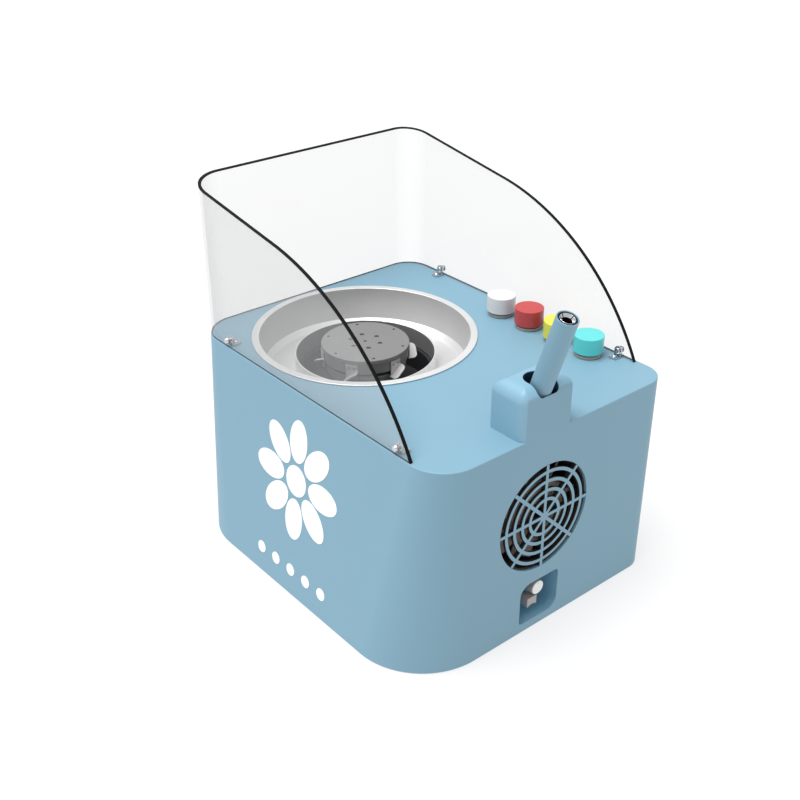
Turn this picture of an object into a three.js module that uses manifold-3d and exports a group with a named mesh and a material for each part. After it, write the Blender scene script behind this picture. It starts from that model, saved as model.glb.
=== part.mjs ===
// Tabletop candy-floss machine: a moulded body with a spinning heater head in a round pan,
// four sugar buttons, a hand-held stick spinner in its holder and a clear wrap-around shield.
// Millimetres, +Z up. The machine stands on z = 0 and its front, with the fan, faces -Y.
import * as THREE from "three";
import { mergeVertices } from "three/addons/utils/BufferGeometryUtils.js";
import Module from "manifold-3d";

const wasm = await Module();
wasm.setup();

// ---- driving dimensions -------------------------------------------------------------------
const bodyWidth = 330; // across the base
const bodyDepth = 390;
const bodyHeight = 225; // table to deck
const shieldTop = 390; // table to the shield's rear edge
const leftLean = 29; // the left wall leans in by this much between base and deck
const wall = 3;
const gap = 0.3; // between pieces that touch
const skirtGap = 1; // the body's lower edge stays clear of the table
const deckBevel = 1;
const baseCornerRadius = 78; // the two left corners, at the base
const deckCornerRadius = 39; // the same corners at the deck
const rightFrontRadius = 26;
const rightRearRadius = 28;
const bossRadius = 8;
const bossHeight = 40;

const plateBottom = 3; // base plate
const plateThickness = 3;
const footRadius = 12;
const footInset = 40; // from the plate's edges to a foot's centre

const panX = -6; // the pan and the heater head share this axis
const panY = 71;
const panLipRadius = 118.8;
const panLipThickness = 1.3;
const panLipReach = 7.6; // from the pan's wall out to its lip's edge
const panTaper = 2.2; // the wall's foot is this much further in than its top
const panDepth = 40; // deck to the pan's floor
const panSheet = 1.6;
const collarRadius = 75; // the pan's inner collar
const collarHeight = 19; // above the pan's floor

const wellRadius = 71;
const wellDepth = 27; // the pan's floor to the well's
const wellSheet = 1.5;
const wellFlange = 6;

const headPlateDrop = 10; // the heater head's top face below the deck
const headPlateRadius = 46.8;
const headPlateThickness = 5;
const drumRadius = 45.3;
const drumHeight = 11;
const heaterHeight = 4.4;
const heaterRadius = 41;
const headBaseRadius = 43;
const headBaseHeight = 14;
const bladeCount = 6;
const bladeStart = 34; // degrees from +X
const bladeWidth = 13;
const bladeHeight = 17;
const bladeSheet = 1.4;
const vaneReach = 10;
const vaneSlant = 38; // degrees from level
const shaftRadius = 5;
const slipRingRadius = 12;

const motorRadius = 30;
const motorHeight = 62;
const motorDeckDrop = 27; // the well's floor to the underside of the motor bracket's plate
const motorDeckThickness = 3;
const motorDeckSize = 108;
const legRadius = 5;
const legInset = 9;

const fanX = -2;
const fanSize = 120;
const fanDepth = 25;
const fanRim = 4; // between the fan's bore and its frame's sides
const fanChannel = 20; // between the rotor's hub and the bore
const fanBladeCount = 7;
const fanClearance = 7.5; // above the recess tub's flange
const openingReach = 2; // the body's opening is this much wider than the fan's bore
const ringInsets = [39, 29, 18.5, 8]; // from the opening's edge in to each ring of the grille
const grilleBar = 3.5;
const grilleDepth = 5;
const flangeReach = 6;

const recessX = -1.7;
const recessZ = 34;
const recessWidth = 52;
const recessHeight = 47;
const recessDepth = 30;
const recessWall = 2;
const recessFlange = 6;
const recessBigRadius = 12;
const recessSmallRadius = 5;
const knobX = 1.6;
const knobZ = 41.2;
const knobRadius = 8;
const knobLength = 13;
const knobInset = 5; // front of the body to the knob's face
const knobShaftRadius = 3;

const capInset = 28; // from the body's right side to the buttons' centres
const capFirstY = 13.4;
const capPitch = 42.2;
const capRadius = 15.5;
const capHeight = 17.6;
const capWall = 1.1;
const capTravel = 3.5;
const collarReach = 3.4; // how far a button's collar stands above the deck
const buttonCollarRadius = 14.1;
const buttonBarrelRadius = 11;
const buttonBarrelLength = 22;
const stemRadius = 5;

const holderLeft = -39;
const holderRight = 24.5;
const holderDepth = 42.2;
const holderHeight = 50; // above the deck
const holderFillet = 13;
const pocketRadius = 13.5;
const pocketStretch = 6; // the pocket is this much longer towards the back
const pocketFrontCorner = 5; // its two front corners are tighter than its rounded back
const sleeveWall = 2;

const wandX = -7.3;
const wandLean = THREE.MathUtils.degToRad(18); // the wand leans forward
const wandFootInset = 32.25; // its lower end's centre behind the body's front
const wandFootDrop = 23.26; // and below the deck
const wandLength = 150;
const wandRadius = 10.4;
const wandWall = 1.3;
const colletRadius = 7.6;
const colletDepth = 14;

const shieldSheet = 3;
const shieldInset = 1; // from the deck's left and rear edges
const shieldRightInset = 3.5;
const shieldSlope = THREE.MathUtils.degToRad(8.8);
const shieldBendY = 40; // the straight slope ends here and the arc begins
const shieldArcRadius = 266;
const bracketWidth = 9;
const bracketReach = 11;
const bracketSheet = 2;
const bracketBolt = 1.8;
const bracketRear = 59; // from the body's rear to the rear brackets
const bracketFront = 59; // and from its front to the front ones

const inletX = 95;
const inletZ = 45;
const inletWidth = 50;
const inletHeight = 28;
const inletDepth = 24;

// ---- materials ----------------------------------------------------------------------------
const paint = (color, roughness, metalness = 0, extra = {}) =>
  new THREE.MeshStandardMaterial({ color, roughness, metalness, ...extra });
const blueShell = paint(0x9bc6de, 0.45);
const blueInner = paint(0x5d87a6, 0.5);
const pocketBlue = paint(0x24405c, 0.5);
const panAluminium = paint(0xd8d8d8, 0.4, 0.3);
const headMetal = paint(0xa5a5a5, 0.45, 0.6);
const darkMetal = paint(0x3c3e40, 0.6, 0.5);
const steel = paint(0xc9ccd0, 0.25, 1);
const brass = paint(0xb08d4a, 0.35, 1);
const blackPlastic = paint(0x1b1b1c, 0.5);
const rotorPlastic = paint(0x776d66, 0.55);
const whitePlastic = paint(0xfafafa, 0.35);
const greyPlastic = paint(0xb9b4b0, 0.45);
const rubber = paint(0x202020, 0.9);
const clear = paint(0xf4f8fa, 0.05, 0, { transparent: true, opacity: 0.25 });
const board = paint(0x2a5a3c, 0.5);
const capColours = [
  ["white", 0xfafafa],
  ["red", 0xde5f5f],
  ["yellow", 0xffff6e],
  ["cyan", 0x87ffff],
];

// ---- solids -------------------------------------------------------------------------------
function toSolid(geometry) {
  const bare = geometry.clone();
  bare.deleteAttribute("normal");
  bare.deleteAttribute("uv");
  const merged = mergeVertices(bare, 1e-4);
  return new wasm.Manifold(
    new wasm.Mesh({
      numProp: 3,
      vertProperties: merged.attributes.position.array,
      triVerts: new Uint32Array(merged.index.array),
    }),
  );
}

function toGeometry(solid) {
  const mesh = solid.getMesh();
  const geometry = new THREE.BufferGeometry();
  geometry.setAttribute("position", new THREE.BufferAttribute(mesh.vertProperties, 3));
  geometry.setIndex(new THREE.BufferAttribute(mesh.triVerts, 1));
  const faceted = geometry.toNonIndexed();
  faceted.computeVertexNormals();
  return faceted;
}

const join = (...pieces) => toGeometry(pieces.map(toSolid).reduce((a, b) => a.add(b)));
const cut = (piece, ...tools) =>
  toGeometry(tools.map(toSolid).reduce((a, b) => a.subtract(b), toSolid(piece)));
const overlap = (a, b) => toGeometry(toSolid(a).intersect(toSolid(b)));

// A box from its lowest to its highest corner.
function box(low, high) {
  const size = high.map((value, i) => value - low[i]);
  const middle = high.map((value, i) => (value + low[i]) / 2);
  return new THREE.BoxGeometry(...size).translate(...middle);
}

// A cylinder that stands on z, along +Z.
function rod(radius, z, height, segments = 24) {
  return new THREE.CylinderGeometry(radius, radius, height, segments)
    .rotateX(Math.PI / 2)
    .translate(0, 0, z + height / 2);
}

// A solid of revolution about Z, from [radius, z] points taken up the outside.
function turned(profile, segments) {
  const points = profile.map(([radius, z]) => new THREE.Vector2(radius, z));
  return new THREE.LatheGeometry(points, segments).rotateX(Math.PI / 2);
}

// Turns a piece built along +Z so that it points to -Y, with its z as the depth behind the front.
const faceForward = (geometry) => geometry.rotateX(-Math.PI / 2);

// A rounded rectangle's points, anticlockwise from the low-y end of its right side.
function roundedOutline(left, right, low, high, radii, steps) {
  const corners = [
    [right, low, -1, 1, radii[0], -90],
    [right, high, -1, -1, radii[1], 0],
    [left, high, 1, -1, radii[2], 90],
    [left, low, 1, 1, radii[3], 180],
  ];
  return corners.flatMap(([x, y, toX, toY, radius, start]) =>
    Array.from({ length: steps + 1 }, (_, i) => {
      const angle = THREE.MathUtils.degToRad(start + (90 * i) / steps);
      return new THREE.Vector2(
        x + toX * radius + radius * Math.cos(angle),
        y + toY * radius + radius * Math.sin(angle),
      );
    }),
  );
}

// A closed skin through outlines of equal length, each at its own height.
function loft(sections) {
  const count = sections[0].outline.length;
  const positions = sections.flatMap(({ outline, z }) => outline.flatMap((p) => [p.x, p.y, z]));
  const index = [];
  for (let s = 0; s + 1 < sections.length; s++) {
    for (let i = 0; i < count; i++) {
      const a = s * count + i;
      const b = s * count + ((i + 1) % count);
      index.push(a, b, b + count, a, b + count, a + count);
    }
  }
  const top = (sections.length - 1) * count;
  for (const [a, b, c] of THREE.ShapeUtils.triangulateShape(sections[0].outline, []))
    index.push(a, c, b);
  for (const [a, b, c] of THREE.ShapeUtils.triangulateShape(sections.at(-1).outline, []))
    index.push(top + a, top + b, top + c);
  const geometry = new THREE.BufferGeometry();
  geometry.setAttribute("position", new THREE.Float32BufferAttribute(positions, 3));
  geometry.setIndex(index);
  return geometry;
}

function prism(outline, depth) {
  return new THREE.ExtrudeGeometry(new THREE.Shape(outline), { depth, bevelEnabled: false });
}

// ---- body ---------------------------------------------------------------------------------
const frontY = -bodyDepth / 2;
const rearY = bodyDepth / 2;
const rightX = bodyWidth / 2;
const leanStretch = Math.hypot(leftLean, bodyHeight) / bodyHeight;
const innerDeck = bodyHeight - wall;

const panWallRadius = panLipRadius - panLipReach;
const panFloorRadius = panWallRadius - panTaper;
const panFloorZ = bodyHeight - panDepth;
const collarRimZ = panFloorZ + collarHeight;
const wellFloorZ = panFloorZ - wellDepth;
const headPlateZ = bodyHeight - headPlateDrop;
const motorDeckZ = wellFloorZ - motorDeckDrop;

const fanBoreRadius = fanSize / 2 - fanRim;
const fanHubRadius = fanBoreRadius - fanChannel;
const fanOpeningRadius = fanBoreRadius + openingReach;
const fanZ = recessZ + recessHeight / 2 + recessFlange + fanClearance + fanSize / 2;
const capX = rightX - capInset;
const holderBack = frontY + holderDepth;
const holderTop = bodyHeight + holderHeight;

const leftX = (z) => -bodyWidth / 2 + (leftLean * z) / bodyHeight;

// The body's outline at one height, drawn in by inset.
function bodyOutline(z, inset = 0) {
  const along = z / bodyHeight;
  const leftRadius = THREE.MathUtils.lerp(baseCornerRadius, deckCornerRadius, along) - inset;
  return roundedOutline(
    leftX(z) + inset * leanStretch,
    rightX - inset,
    frontY + inset,
    rearY - inset,
    [rightFrontRadius - inset, rightRearRadius - inset, leftRadius, leftRadius],
    7,
  );
}

const capYs = capColours.map((_, i) => capFirstY - i * capPitch);

// The wand's own frame: its bottom end at the origin, its axis along +Z.
const wandAxis = new THREE.Vector3(0, -Math.sin(wandLean), Math.cos(wandLean));
const wandFoot = new THREE.Vector3(wandX, frontY + wandFootInset, bodyHeight - wandFootDrop);
const wandMatrix = new THREE.Matrix4()
  .makeTranslation(wandFoot.x, wandFoot.y, wandFoot.z)
  .multiply(new THREE.Matrix4().makeRotationX(wandLean));

const pocketLow = -1; // the pocket's floor, just below the wand's end

// The pocket's section grown by extra, from low to high along the wand's axis.
function pocketPrism(extra, low, high) {
  const radius = pocketRadius + extra;
  const front = pocketFrontCorner + extra;
  const back = radius - 0.01;
  const outline = roundedOutline(
    -radius,
    radius,
    -radius,
    radius + pocketStretch,
    [front, back, back, front],
    7,
  );
  return prism(outline, high - low).translate(0, 0, low).applyMatrix4(wandMatrix);
}

function holderBlock() {
  const steps = 5;
  const radii = [3, 8, 3, 9];
  const at = (z, inset) => ({
    z,
    outline: roundedOutline(
      holderLeft + inset,
      holderRight - inset,
      frontY + inset,
      holderBack - inset,
      radii.map((radius) => Math.max(radius - inset, 0.8)),
      4,
    ),
  });
  const shoulder = holderTop - holderFillet;
  const sections = [at(innerDeck + 0.5, 0)];
  for (let i = 0; i <= steps; i++) {
    const angle = (Math.PI / 2) * (i / steps);
    sections.push(at(shoulder + holderFillet * Math.sin(angle), holderFillet * (1 - Math.cos(angle))));
  }
  return loft(sections);
}

function bossAt(x, y) {
  return rod(bossRadius, plateBottom + plateThickness + gap, bossHeight, 20).translate(x, y, 0);
}

function recessOutline(extra) {
  const big = recessBigRadius + extra;
  const small = recessSmallRadius + extra;
  return roundedOutline(
    recessX - recessWidth / 2 - extra,
    recessX + recessWidth / 2 + extra,
    recessZ - recessHeight / 2 - extra,
    recessZ + recessHeight / 2 + extra,
    [big, small, big, small],
    5,
  );
}

// A prism with an outline in X and Z, from y back to y + depth.
function sidePrism(outline, y, depth) {
  return prism(outline, depth).rotateX(Math.PI / 2).translate(0, y + depth, 0);
}

function bodyShell() {
  const outer = loft([
    { outline: bodyOutline(skirtGap), z: skirtGap },
    { outline: bodyOutline(bodyHeight - deckBevel), z: bodyHeight - deckBevel },
    { outline: bodyOutline(bodyHeight, deckBevel), z: bodyHeight },
  ]);
  const inner = loft([
    { outline: bodyOutline(-wall, wall), z: -wall },
    { outline: bodyOutline(innerDeck, wall), z: innerDeck },
  ]);
  const bossX = rightX - wall - bossRadius + 1;
  const bossLeftX = leftX(bossHeight) + wall + bossRadius - 1;
  const bosses = [
    bossAt(bossX, frontY + 45),
    bossAt(bossX, rearY - 45),
    bossAt(bossLeftX, frontY + 90),
    bossAt(bossLeftX, rearY - 90),
  ].map((boss) => overlap(boss, outer));
  const buttonHoles = capYs.map((y) =>
    rod(buttonBarrelRadius + gap, innerDeck - 5, 10, 20).translate(capX, y, 0),
  );
  const fanOpening = faceForward(rod(fanOpeningRadius, -10, 20, 36)).translate(fanX, frontY, fanZ);
  return cut(
    join(cut(outer, inner), ...bosses, holderBlock()),
    rod(panWallRadius + panSheet + 1, innerDeck - 5, 20, 48).translate(panX, panY, 0),
    ...buttonHoles,
    fanOpening,
    sidePrism(recessOutline(0), frontY - 5, 5 + wall + 2),
    box(
      [inletX - inletWidth / 2, rearY - wall - 2, inletZ - inletHeight / 2],
      [inletX + inletWidth / 2, rearY + 5, inletZ + inletHeight / 2],
    ),
    pocketPrism(0, pocketLow, wandLength),
  );
}

function basePlate() {
  const bottom = plateBottom;
  const top = plateBottom + plateThickness;
  return loft([
    { outline: bodyOutline(bottom, wall + gap), z: bottom },
    { outline: bodyOutline(top, wall + gap), z: top },
  ]);
}

function foot() {
  const height = plateBottom - gap;
  const profile = [
    [0, 0],
    [footRadius - 0.8, 0],
    [footRadius, 0.8],
    [footRadius, height],
    [0, height],
  ];
  return turned(profile, 14);
}

// ---- pan, well and heater head ------------------------------------------------------------
function panBowl() {
  const lipTop = bodyHeight + gap + panLipThickness;
  const profile = [
    [panLipRadius, bodyHeight + gap],
    [panLipRadius, lipTop],
    [panWallRadius, lipTop],
    [panFloorRadius, panFloorZ + 6],
    [panFloorRadius - 6, panFloorZ],
    [collarRadius, panFloorZ],
    [collarRadius, collarRimZ],
    [collarRadius - panSheet, collarRimZ],
    [collarRadius - panSheet, panFloorZ - panSheet],
    [panFloorRadius - 6, panFloorZ - panSheet],
    [panFloorRadius + panSheet, panFloorZ + 6 - panSheet],
    [panWallRadius + panSheet, bodyHeight + gap],
    [panLipRadius, bodyHeight + gap],
  ];
  return turned(profile, 48);
}

function heaterWell() {
  const rim = panFloorZ - panSheet - gap;
  const floor = wellFloorZ;
  const profile = [
    [wellRadius, floor - wellSheet],
    [wellRadius, rim - wellSheet],
    [wellRadius + wellFlange, rim - wellSheet],
    [wellRadius + wellFlange, rim],
    [wellRadius - wellSheet, rim],
    [wellRadius - wellSheet, floor],
    [shaftRadius + 6, floor],
    [shaftRadius + 6, floor - wellSheet],
    [wellRadius, floor - wellSheet],
  ];
  const post = (x, y) => {
    const low = motorDeckZ + motorDeckThickness + gap;
    return rod(legRadius, low, floor - wellSheet / 2 - low, 12).translate(x, y, 0);
  };
  const side = motorDeckSize / 2 - legInset;
  const posts = [-1, 1].flatMap((x) => [-1, 1].map((y) => post(x * side, y * side)));
  return join(turned(profile, 28), ...posts);
}

const drumTop = headPlateZ - headPlateThickness - gap;
const heaterTop = drumTop - drumHeight - gap;
const headBaseTop = heaterTop - heaterHeight - gap;
const headBaseBottom = headBaseTop - headBaseHeight;

function ringOfHoles(count, ringRadius, holeRadius, start, low, height, segments) {
  return Array.from({ length: count }, (_, i) => {
    const angle = THREE.MathUtils.degToRad(start + (360 * i) / count);
    return rod(holeRadius, low, height, segments).translate(
      ringRadius * Math.cos(angle),
      ringRadius * Math.sin(angle),
      0,
    );
  });
}

function headPlate() {
  const bottom = headPlateZ - headPlateThickness;
  const profile = [
    [0, bottom],
    [headPlateRadius, bottom],
    [headPlateRadius, headPlateZ - 0.6],
    [headPlateRadius - 0.6, headPlateZ],
    [0, headPlateZ],
  ];
  const sunk = headPlateZ - 1.6;
  return cut(
    turned(profile, 36),
    ...ringOfHoles(6, 41.5, 1.5, 4, sunk, 10, 6),
    ...ringOfHoles(6, 16.4, 2.6, 4, sunk, 10, 8),
    rod(1.7, sunk, 10, 6),
  );
}

function headDrum() {
  const bottom = drumTop - drumHeight;
  const sugarCup = 30;
  const profile = [
    [shaftRadius + gap, bottom],
    [drumRadius, bottom],
    [drumRadius, drumTop],
    [sugarCup, drumTop],
    [sugarCup, bottom + 3],
    [shaftRadius + gap, bottom + 3],
    [shaftRadius + gap, bottom],
  ];
  return turned(profile, 32);
}

function heaterRing() {
  const bottom = heaterTop - heaterHeight;
  const ribs = Array.from({ length: 12 }, (_, i) =>
    box([heaterRadius - 1.6, -1, bottom - 1], [heaterRadius + 2, 1, heaterTop + 1]).rotateZ(
      (Math.PI * 2 * i) / 12,
    ),
  );
  const profile = [
    [heaterRadius - 9, bottom],
    [heaterRadius, bottom],
    [heaterRadius, heaterTop],
    [heaterRadius - 9, heaterTop],
    [heaterRadius - 9, bottom],
  ];
  return cut(turned(profile, 24), ...ribs);
}

function headBase() {
  const profile = [
    [shaftRadius + gap, headBaseBottom],
    [headBaseRadius - 6, headBaseBottom],
    [headBaseRadius, headBaseBottom + 6],
    [headBaseRadius, headBaseTop],
    [shaftRadius + gap, headBaseTop],
    [shaftRadius + gap, headBaseBottom],
  ];
  return turned(profile, 32);
}

// A bent blade on the drum's side: an upright tab with two screw holes and a slanted vane.
function headBlade() {
  const face = drumRadius + gap;
  const top = drumTop;
  const tab = box([face, -bladeWidth / 2, top - bladeHeight], [face + bladeSheet, bladeWidth / 2, top]);
  const holes = [-3, 3].map((y) =>
    rod(1.1, -5, 10, 6).rotateY(Math.PI / 2).translate(face, y, top - 4),
  );
  const vaneOutline = roundedOutline(face, face + vaneReach, -9, 9, [5, 5, 0.4, 0.4], 3);
  const vane = prism(vaneOutline, bladeSheet)
    .translate(0, 0, -bladeSheet / 2)
    .rotateX(THREE.MathUtils.degToRad(vaneSlant))
    .translate(0, 0, top - bladeHeight + 5);
  return cut(join(tab, vane), ...holes);
}

function driveShaft() {
  const low = motorDeckZ - 22;
  return rod(shaftRadius, low, headPlateZ - headPlateThickness - gap - low, 16);
}

function slipRings() {
  const low = motorDeckZ + motorDeckThickness + 2;
  const r = slipRingRadius;
  const profile = [
    [shaftRadius + gap, low],
    [r + 1, low],
    [r + 1, low + 2],
    [r, low + 2],
    [r, low + 7],
    [r + 1, low + 7],
    [r + 1, low + 9],
    [r, low + 9],
    [r, low + 14],
    [r + 1, low + 14],
    [r + 1, low + 16],
    [shaftRadius + gap, low + 16],
    [shaftRadius + gap, low],
  ];
  return turned(profile, 14);
}

function brushHolder() {
  const low = motorDeckZ + motorDeckThickness + gap;
  const near = slipRingRadius + 1 + gap;
  const housing = box([near + 8, -8, low], [near + 24, 8, low + 20]);
  const brush = (z) => box([near - 0.9, -2, z], [near + 10, 2, z + 4]);
  return join(housing, brush(low + 4.2), brush(low + 11.2));
}

function driveMotor() {
  const top = motorDeckZ - gap;
  const bottom = top - motorHeight;
  const r = motorRadius;
  const profile = [
    [0, bottom],
    [r - 3, bottom],
    [r, bottom + 3],
    [r, top - 2],
    [r - 2, top],
    [shaftRadius + gap, top],
    [shaftRadius + gap, top - 23],
    [0, top - 23],
  ];
  return turned(profile, 20);
}

function motorBracket() {
  const half = motorDeckSize / 2;
  const side = half - legInset;
  const low = plateBottom + plateThickness + gap;
  const legs = [-1, 1].flatMap((x) =>
    [-1, 1].map((y) =>
      rod(legRadius, low, motorDeckZ + 1 - low, 12).translate(x * side, y * side, 0),
    ),
  );
  const deck = box([-half, -half, motorDeckZ], [half, half, motorDeckZ + motorDeckThickness]);
  return cut(join(deck, ...legs), rod(shaftRadius + 5, motorDeckZ - 5, 15, 20));
}

// ---- fan ----------------------------------------------------------------------------------
// Fan pieces are built along +Z with z = 0 at the body's front face, then turned forward.
function flatRing(inner, outer, low, high, segments) {
  const profile = [
    [inner, low],
    [outer, low],
    [outer, high],
    [inner, high],
    [inner, low],
  ];
  return turned(profile, segments);
}

function fanGrille() {
  const half = grilleBar / 2;
  const reach = fanOpeningRadius - gap;
  const rings = ringInsets.map((inset) => {
    const radius = fanOpeningRadius - inset;
    return flatRing(radius - half, radius + half, 0, wall, 24);
  });
  const spokes = [0, 45, 90, 135].map((angle) =>
    box([-reach, -half, 0], [reach, half, grilleDepth]).rotateZ(THREE.MathUtils.degToRad(angle)),
  );
  const flange = flatRing(
    fanOpeningRadius - 1.4,
    fanOpeningRadius + flangeReach,
    wall + gap,
    grilleDepth + gap,
    28,
  );
  return faceForward(join(...rings, ...spokes, flange)).translate(fanX, frontY, fanZ);
}

const fanFront = grilleDepth + 2 * gap; // depth of the fan frame's front face

function fanFrame() {
  const half = fanSize / 2;
  const back = fanFront + fanDepth;
  const outline = roundedOutline(-half, half, -half, half, [8, 8, 8, 8], 3);
  const block = prism(outline, fanDepth).translate(0, 0, fanFront);
  const bore = rod(fanBoreRadius, fanFront - 1, fanDepth + 2, 28);
  const motorSeat = rod(fanHubRadius, back - 4, 4, 16);
  const strut = (angle) =>
    box([0, -2, back - 4], [fanBoreRadius + 2, 2, back]).rotateZ(THREE.MathUtils.degToRad(angle));
  const frame = join(cut(block, bore), motorSeat, ...[20, 110, 200, 290].map(strut));
  return faceForward(frame).translate(fanX, frontY, fanZ);
}

function fanRotor() {
  const front = fanFront + 1;
  const back = fanFront + fanDepth - 4 - 1;
  const hub = turned(
    [
      [0, front],
      [10, front],
      [10, front + 1],
      [fanHubRadius - 2, front + 1],
      [fanHubRadius, front + 3],
      [fanHubRadius, back],
      [0, back],
    ],
    20,
  );
  const tip = fanBoreRadius - 1.5;
  const blades = Array.from({ length: fanBladeCount }, (_, i) => {
    const blade = box([fanHubRadius - 2, -11, -0.9], [tip - 3, 11, 0.9]);
    return blade
      .rotateX(THREE.MathUtils.degToRad(35))
      .translate(0, 0, (front + back) / 2 + 1)
      .rotateZ((Math.PI * 2 * i) / fanBladeCount);
  });
  return join(hub, ...blades);
}

// ---- front recess and knob ----------------------------------------------------------------
function recessTub() {
  const front = frontY + wall + gap;
  const back = frontY + recessDepth + recessWall;
  const block = sidePrism(recessOutline(recessWall), front, back - front);
  const flange = sidePrism(recessOutline(recessFlange), front, 1.6);
  const hollow = sidePrism(recessOutline(0), frontY, recessDepth);
  const shaftHole = rod(knobShaftRadius + gap, -40, 80, 14)
    .rotateX(Math.PI / 2)
    .translate(knobX, back, knobZ);
  const floorZ = plateBottom + plateThickness + gap;
  const room = box([-100, frontY - 10, floorZ], [100, back + 10, 100]);
  return overlap(cut(join(block, flange), hollow, shaftHole), room);
}

function speedKnob() {
  const face = frontY + knobInset;
  const grip = turned(
    [
      [0, 0],
      [knobRadius, 0],
      [knobRadius, knobLength - 0.8],
      [knobRadius - 0.8, knobLength],
      [0, knobLength],
    ],
    20,
  );
  const shaftLength = recessDepth + recessWall + 1.5 - knobInset - knobLength + 1;
  const shaft = rod(knobShaftRadius, -shaftLength + 1, shaftLength, 12);
  return join(grip, shaft).rotateX(Math.PI / 2).translate(0, face + knobLength, 0);
}

// A saddle block under the knob, on an arm from the recess's rear wall.
function knobBracket() {
  const left = -10.7;
  const right = 2.3;
  const low = 20.6;
  const high = 31.5;
  const face = frontY + 6;
  const back = frontY + recessDepth - gap;
  const saddle = new THREE.Shape();
  const middle = (left + right) / 2;
  const drop = 11;
  saddle.moveTo(left, high);
  saddle.lineTo(left, low);
  const sweep = Math.asin((right - left) / 2 / drop);
  saddle.absarc(
    middle,
    low - drop * Math.cos(sweep),
    drop,
    Math.PI / 2 + sweep,
    Math.PI / 2 - sweep,
    true,
  );
  saddle.lineTo(right, high);
  const head = new THREE.ExtrudeGeometry(saddle, { depth: 9, bevelEnabled: false, curveSegments: 8 })
    .rotateX(Math.PI / 2)
    .translate(0, face + 9, 0);
  const arm = box([middle - 3, face + 5, high - 6], [middle + 3, back, high - 1]);
  return join(head, arm);
}

function potentiometer() {
  const front = frontY + recessDepth + recessWall + gap;
  const can = rod(9, 0, 12, 20).rotateX(-Math.PI / 2).translate(knobX, front, knobZ);
  const bore = rod(knobShaftRadius + gap, -1, 4, 12).rotateX(-Math.PI / 2);
  return cut(can, bore.translate(knobX, front, knobZ));
}

// ---- sugar buttons ------------------------------------------------------------------------
// A metal collar whose barrel goes down through the deck.
function buttonCollar() {
  const low = bodyHeight - buttonBarrelLength;
  const top = bodyHeight + collarReach;
  const bore = stemRadius + gap;
  const profile = [
    [bore, low],
    [buttonBarrelRadius, low],
    [buttonBarrelRadius, bodyHeight + gap],
    [buttonCollarRadius, bodyHeight + gap],
    [buttonCollarRadius, top],
    [bore, top],
    [bore, low],
  ];
  return turned(profile, 18);
}

function buttonCap() {
  const top = bodyHeight + collarReach + 1.6 + capHeight;
  const low = top - capHeight;
  const roof = bodyHeight + collarReach + capTravel + 1;
  const stemLow = bodyHeight - buttonBarrelLength - capTravel;
  const profile = [
    [0, stemLow],
    [stemRadius, stemLow],
    [stemRadius, roof],
    [capRadius - capWall, roof],
    [capRadius - capWall, low],
    [capRadius, low],
    [capRadius, top - 0.5],
    [capRadius - 0.5, top],
    [0, top],
  ];
  return turned(profile, 20);
}

// ---- wand and holder sleeve ---------------------------------------------------------------
function wandSleeve() {
  const outer = pocketPrism(sleeveWall, pocketLow - sleeveWall, 60);
  const inner = pocketPrism(0, pocketLow, 70);
  const below = box([-100, frontY, 100], [100, 0, innerDeck - gap]);
  return overlap(cut(outer, inner), below);
}

function wandTube() {
  const r = wandRadius;
  const bore = r - wandWall;
  const tail = 12;
  const profile = [
    [bore, tail + gap],
    [r, tail + gap],
    [r, wandLength - 0.6],
    [r - 0.6, wandLength],
    [bore, wandLength],
    [bore, tail + gap],
  ];
  return turned(profile, 20);
}

function wandTailCap() {
  const r = wandRadius;
  const plug = r - wandWall - gap;
  const profile = [
    [0, 0],
    [r - 2, 0],
    [r, 2],
    [r, 12],
    [plug, 12],
    [plug, 20],
    [0, 20],
  ];
  return turned(profile, 20);
}

const wandBattery = () => rod(7.2, 20 + gap, 65, 16);
const wandMotorTop = wandLength - colletDepth - 4;

function wandMotor() {
  const low = 20 + 2 * gap + 65;
  const profile = [
    [0, low],
    [8, low],
    [8, wandMotorTop - 3],
    [0, wandMotorTop - 3],
  ];
  return turned(profile, 20);
}

// A split sleeve with four jaws on a spindle from the wand's motor.
function collet() {
  const top = wandLength - 0.8;
  const low = wandLength - colletDepth;
  const profile = [
    [0, low - 6],
    [2, low - 6],
    [2, low],
    [colletRadius, low],
    [colletRadius, top],
    [colletRadius - 1, top + 0.5],
    [4.4, top - 2.5],
    [4.4, low + 4],
    [0, low + 4],
  ];
  const slots = [0, 90].map((angle) =>
    box([-10, -0.6, low + 5], [10, 0.6, wandLength + 2]).rotateZ(
      THREE.MathUtils.degToRad(angle + 30),
    ),
  );
  return cut(turned(profile, 20), ...slots);
}

function colletRing() {
  const outer = wandRadius - wandWall - gap;
  const inner = colletRadius + gap;
  return flatRing(inner, outer, wandLength - 9, wandLength - 0.4, 20);
}

// ---- shield -------------------------------------------------------------------------------
const shieldLeft = leftX(bodyHeight) + shieldInset;
const shieldRight = rightX - shieldRightInset;
const shieldRear = rearY - shieldInset;
const shieldBottom = bodyHeight + gap;

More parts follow.
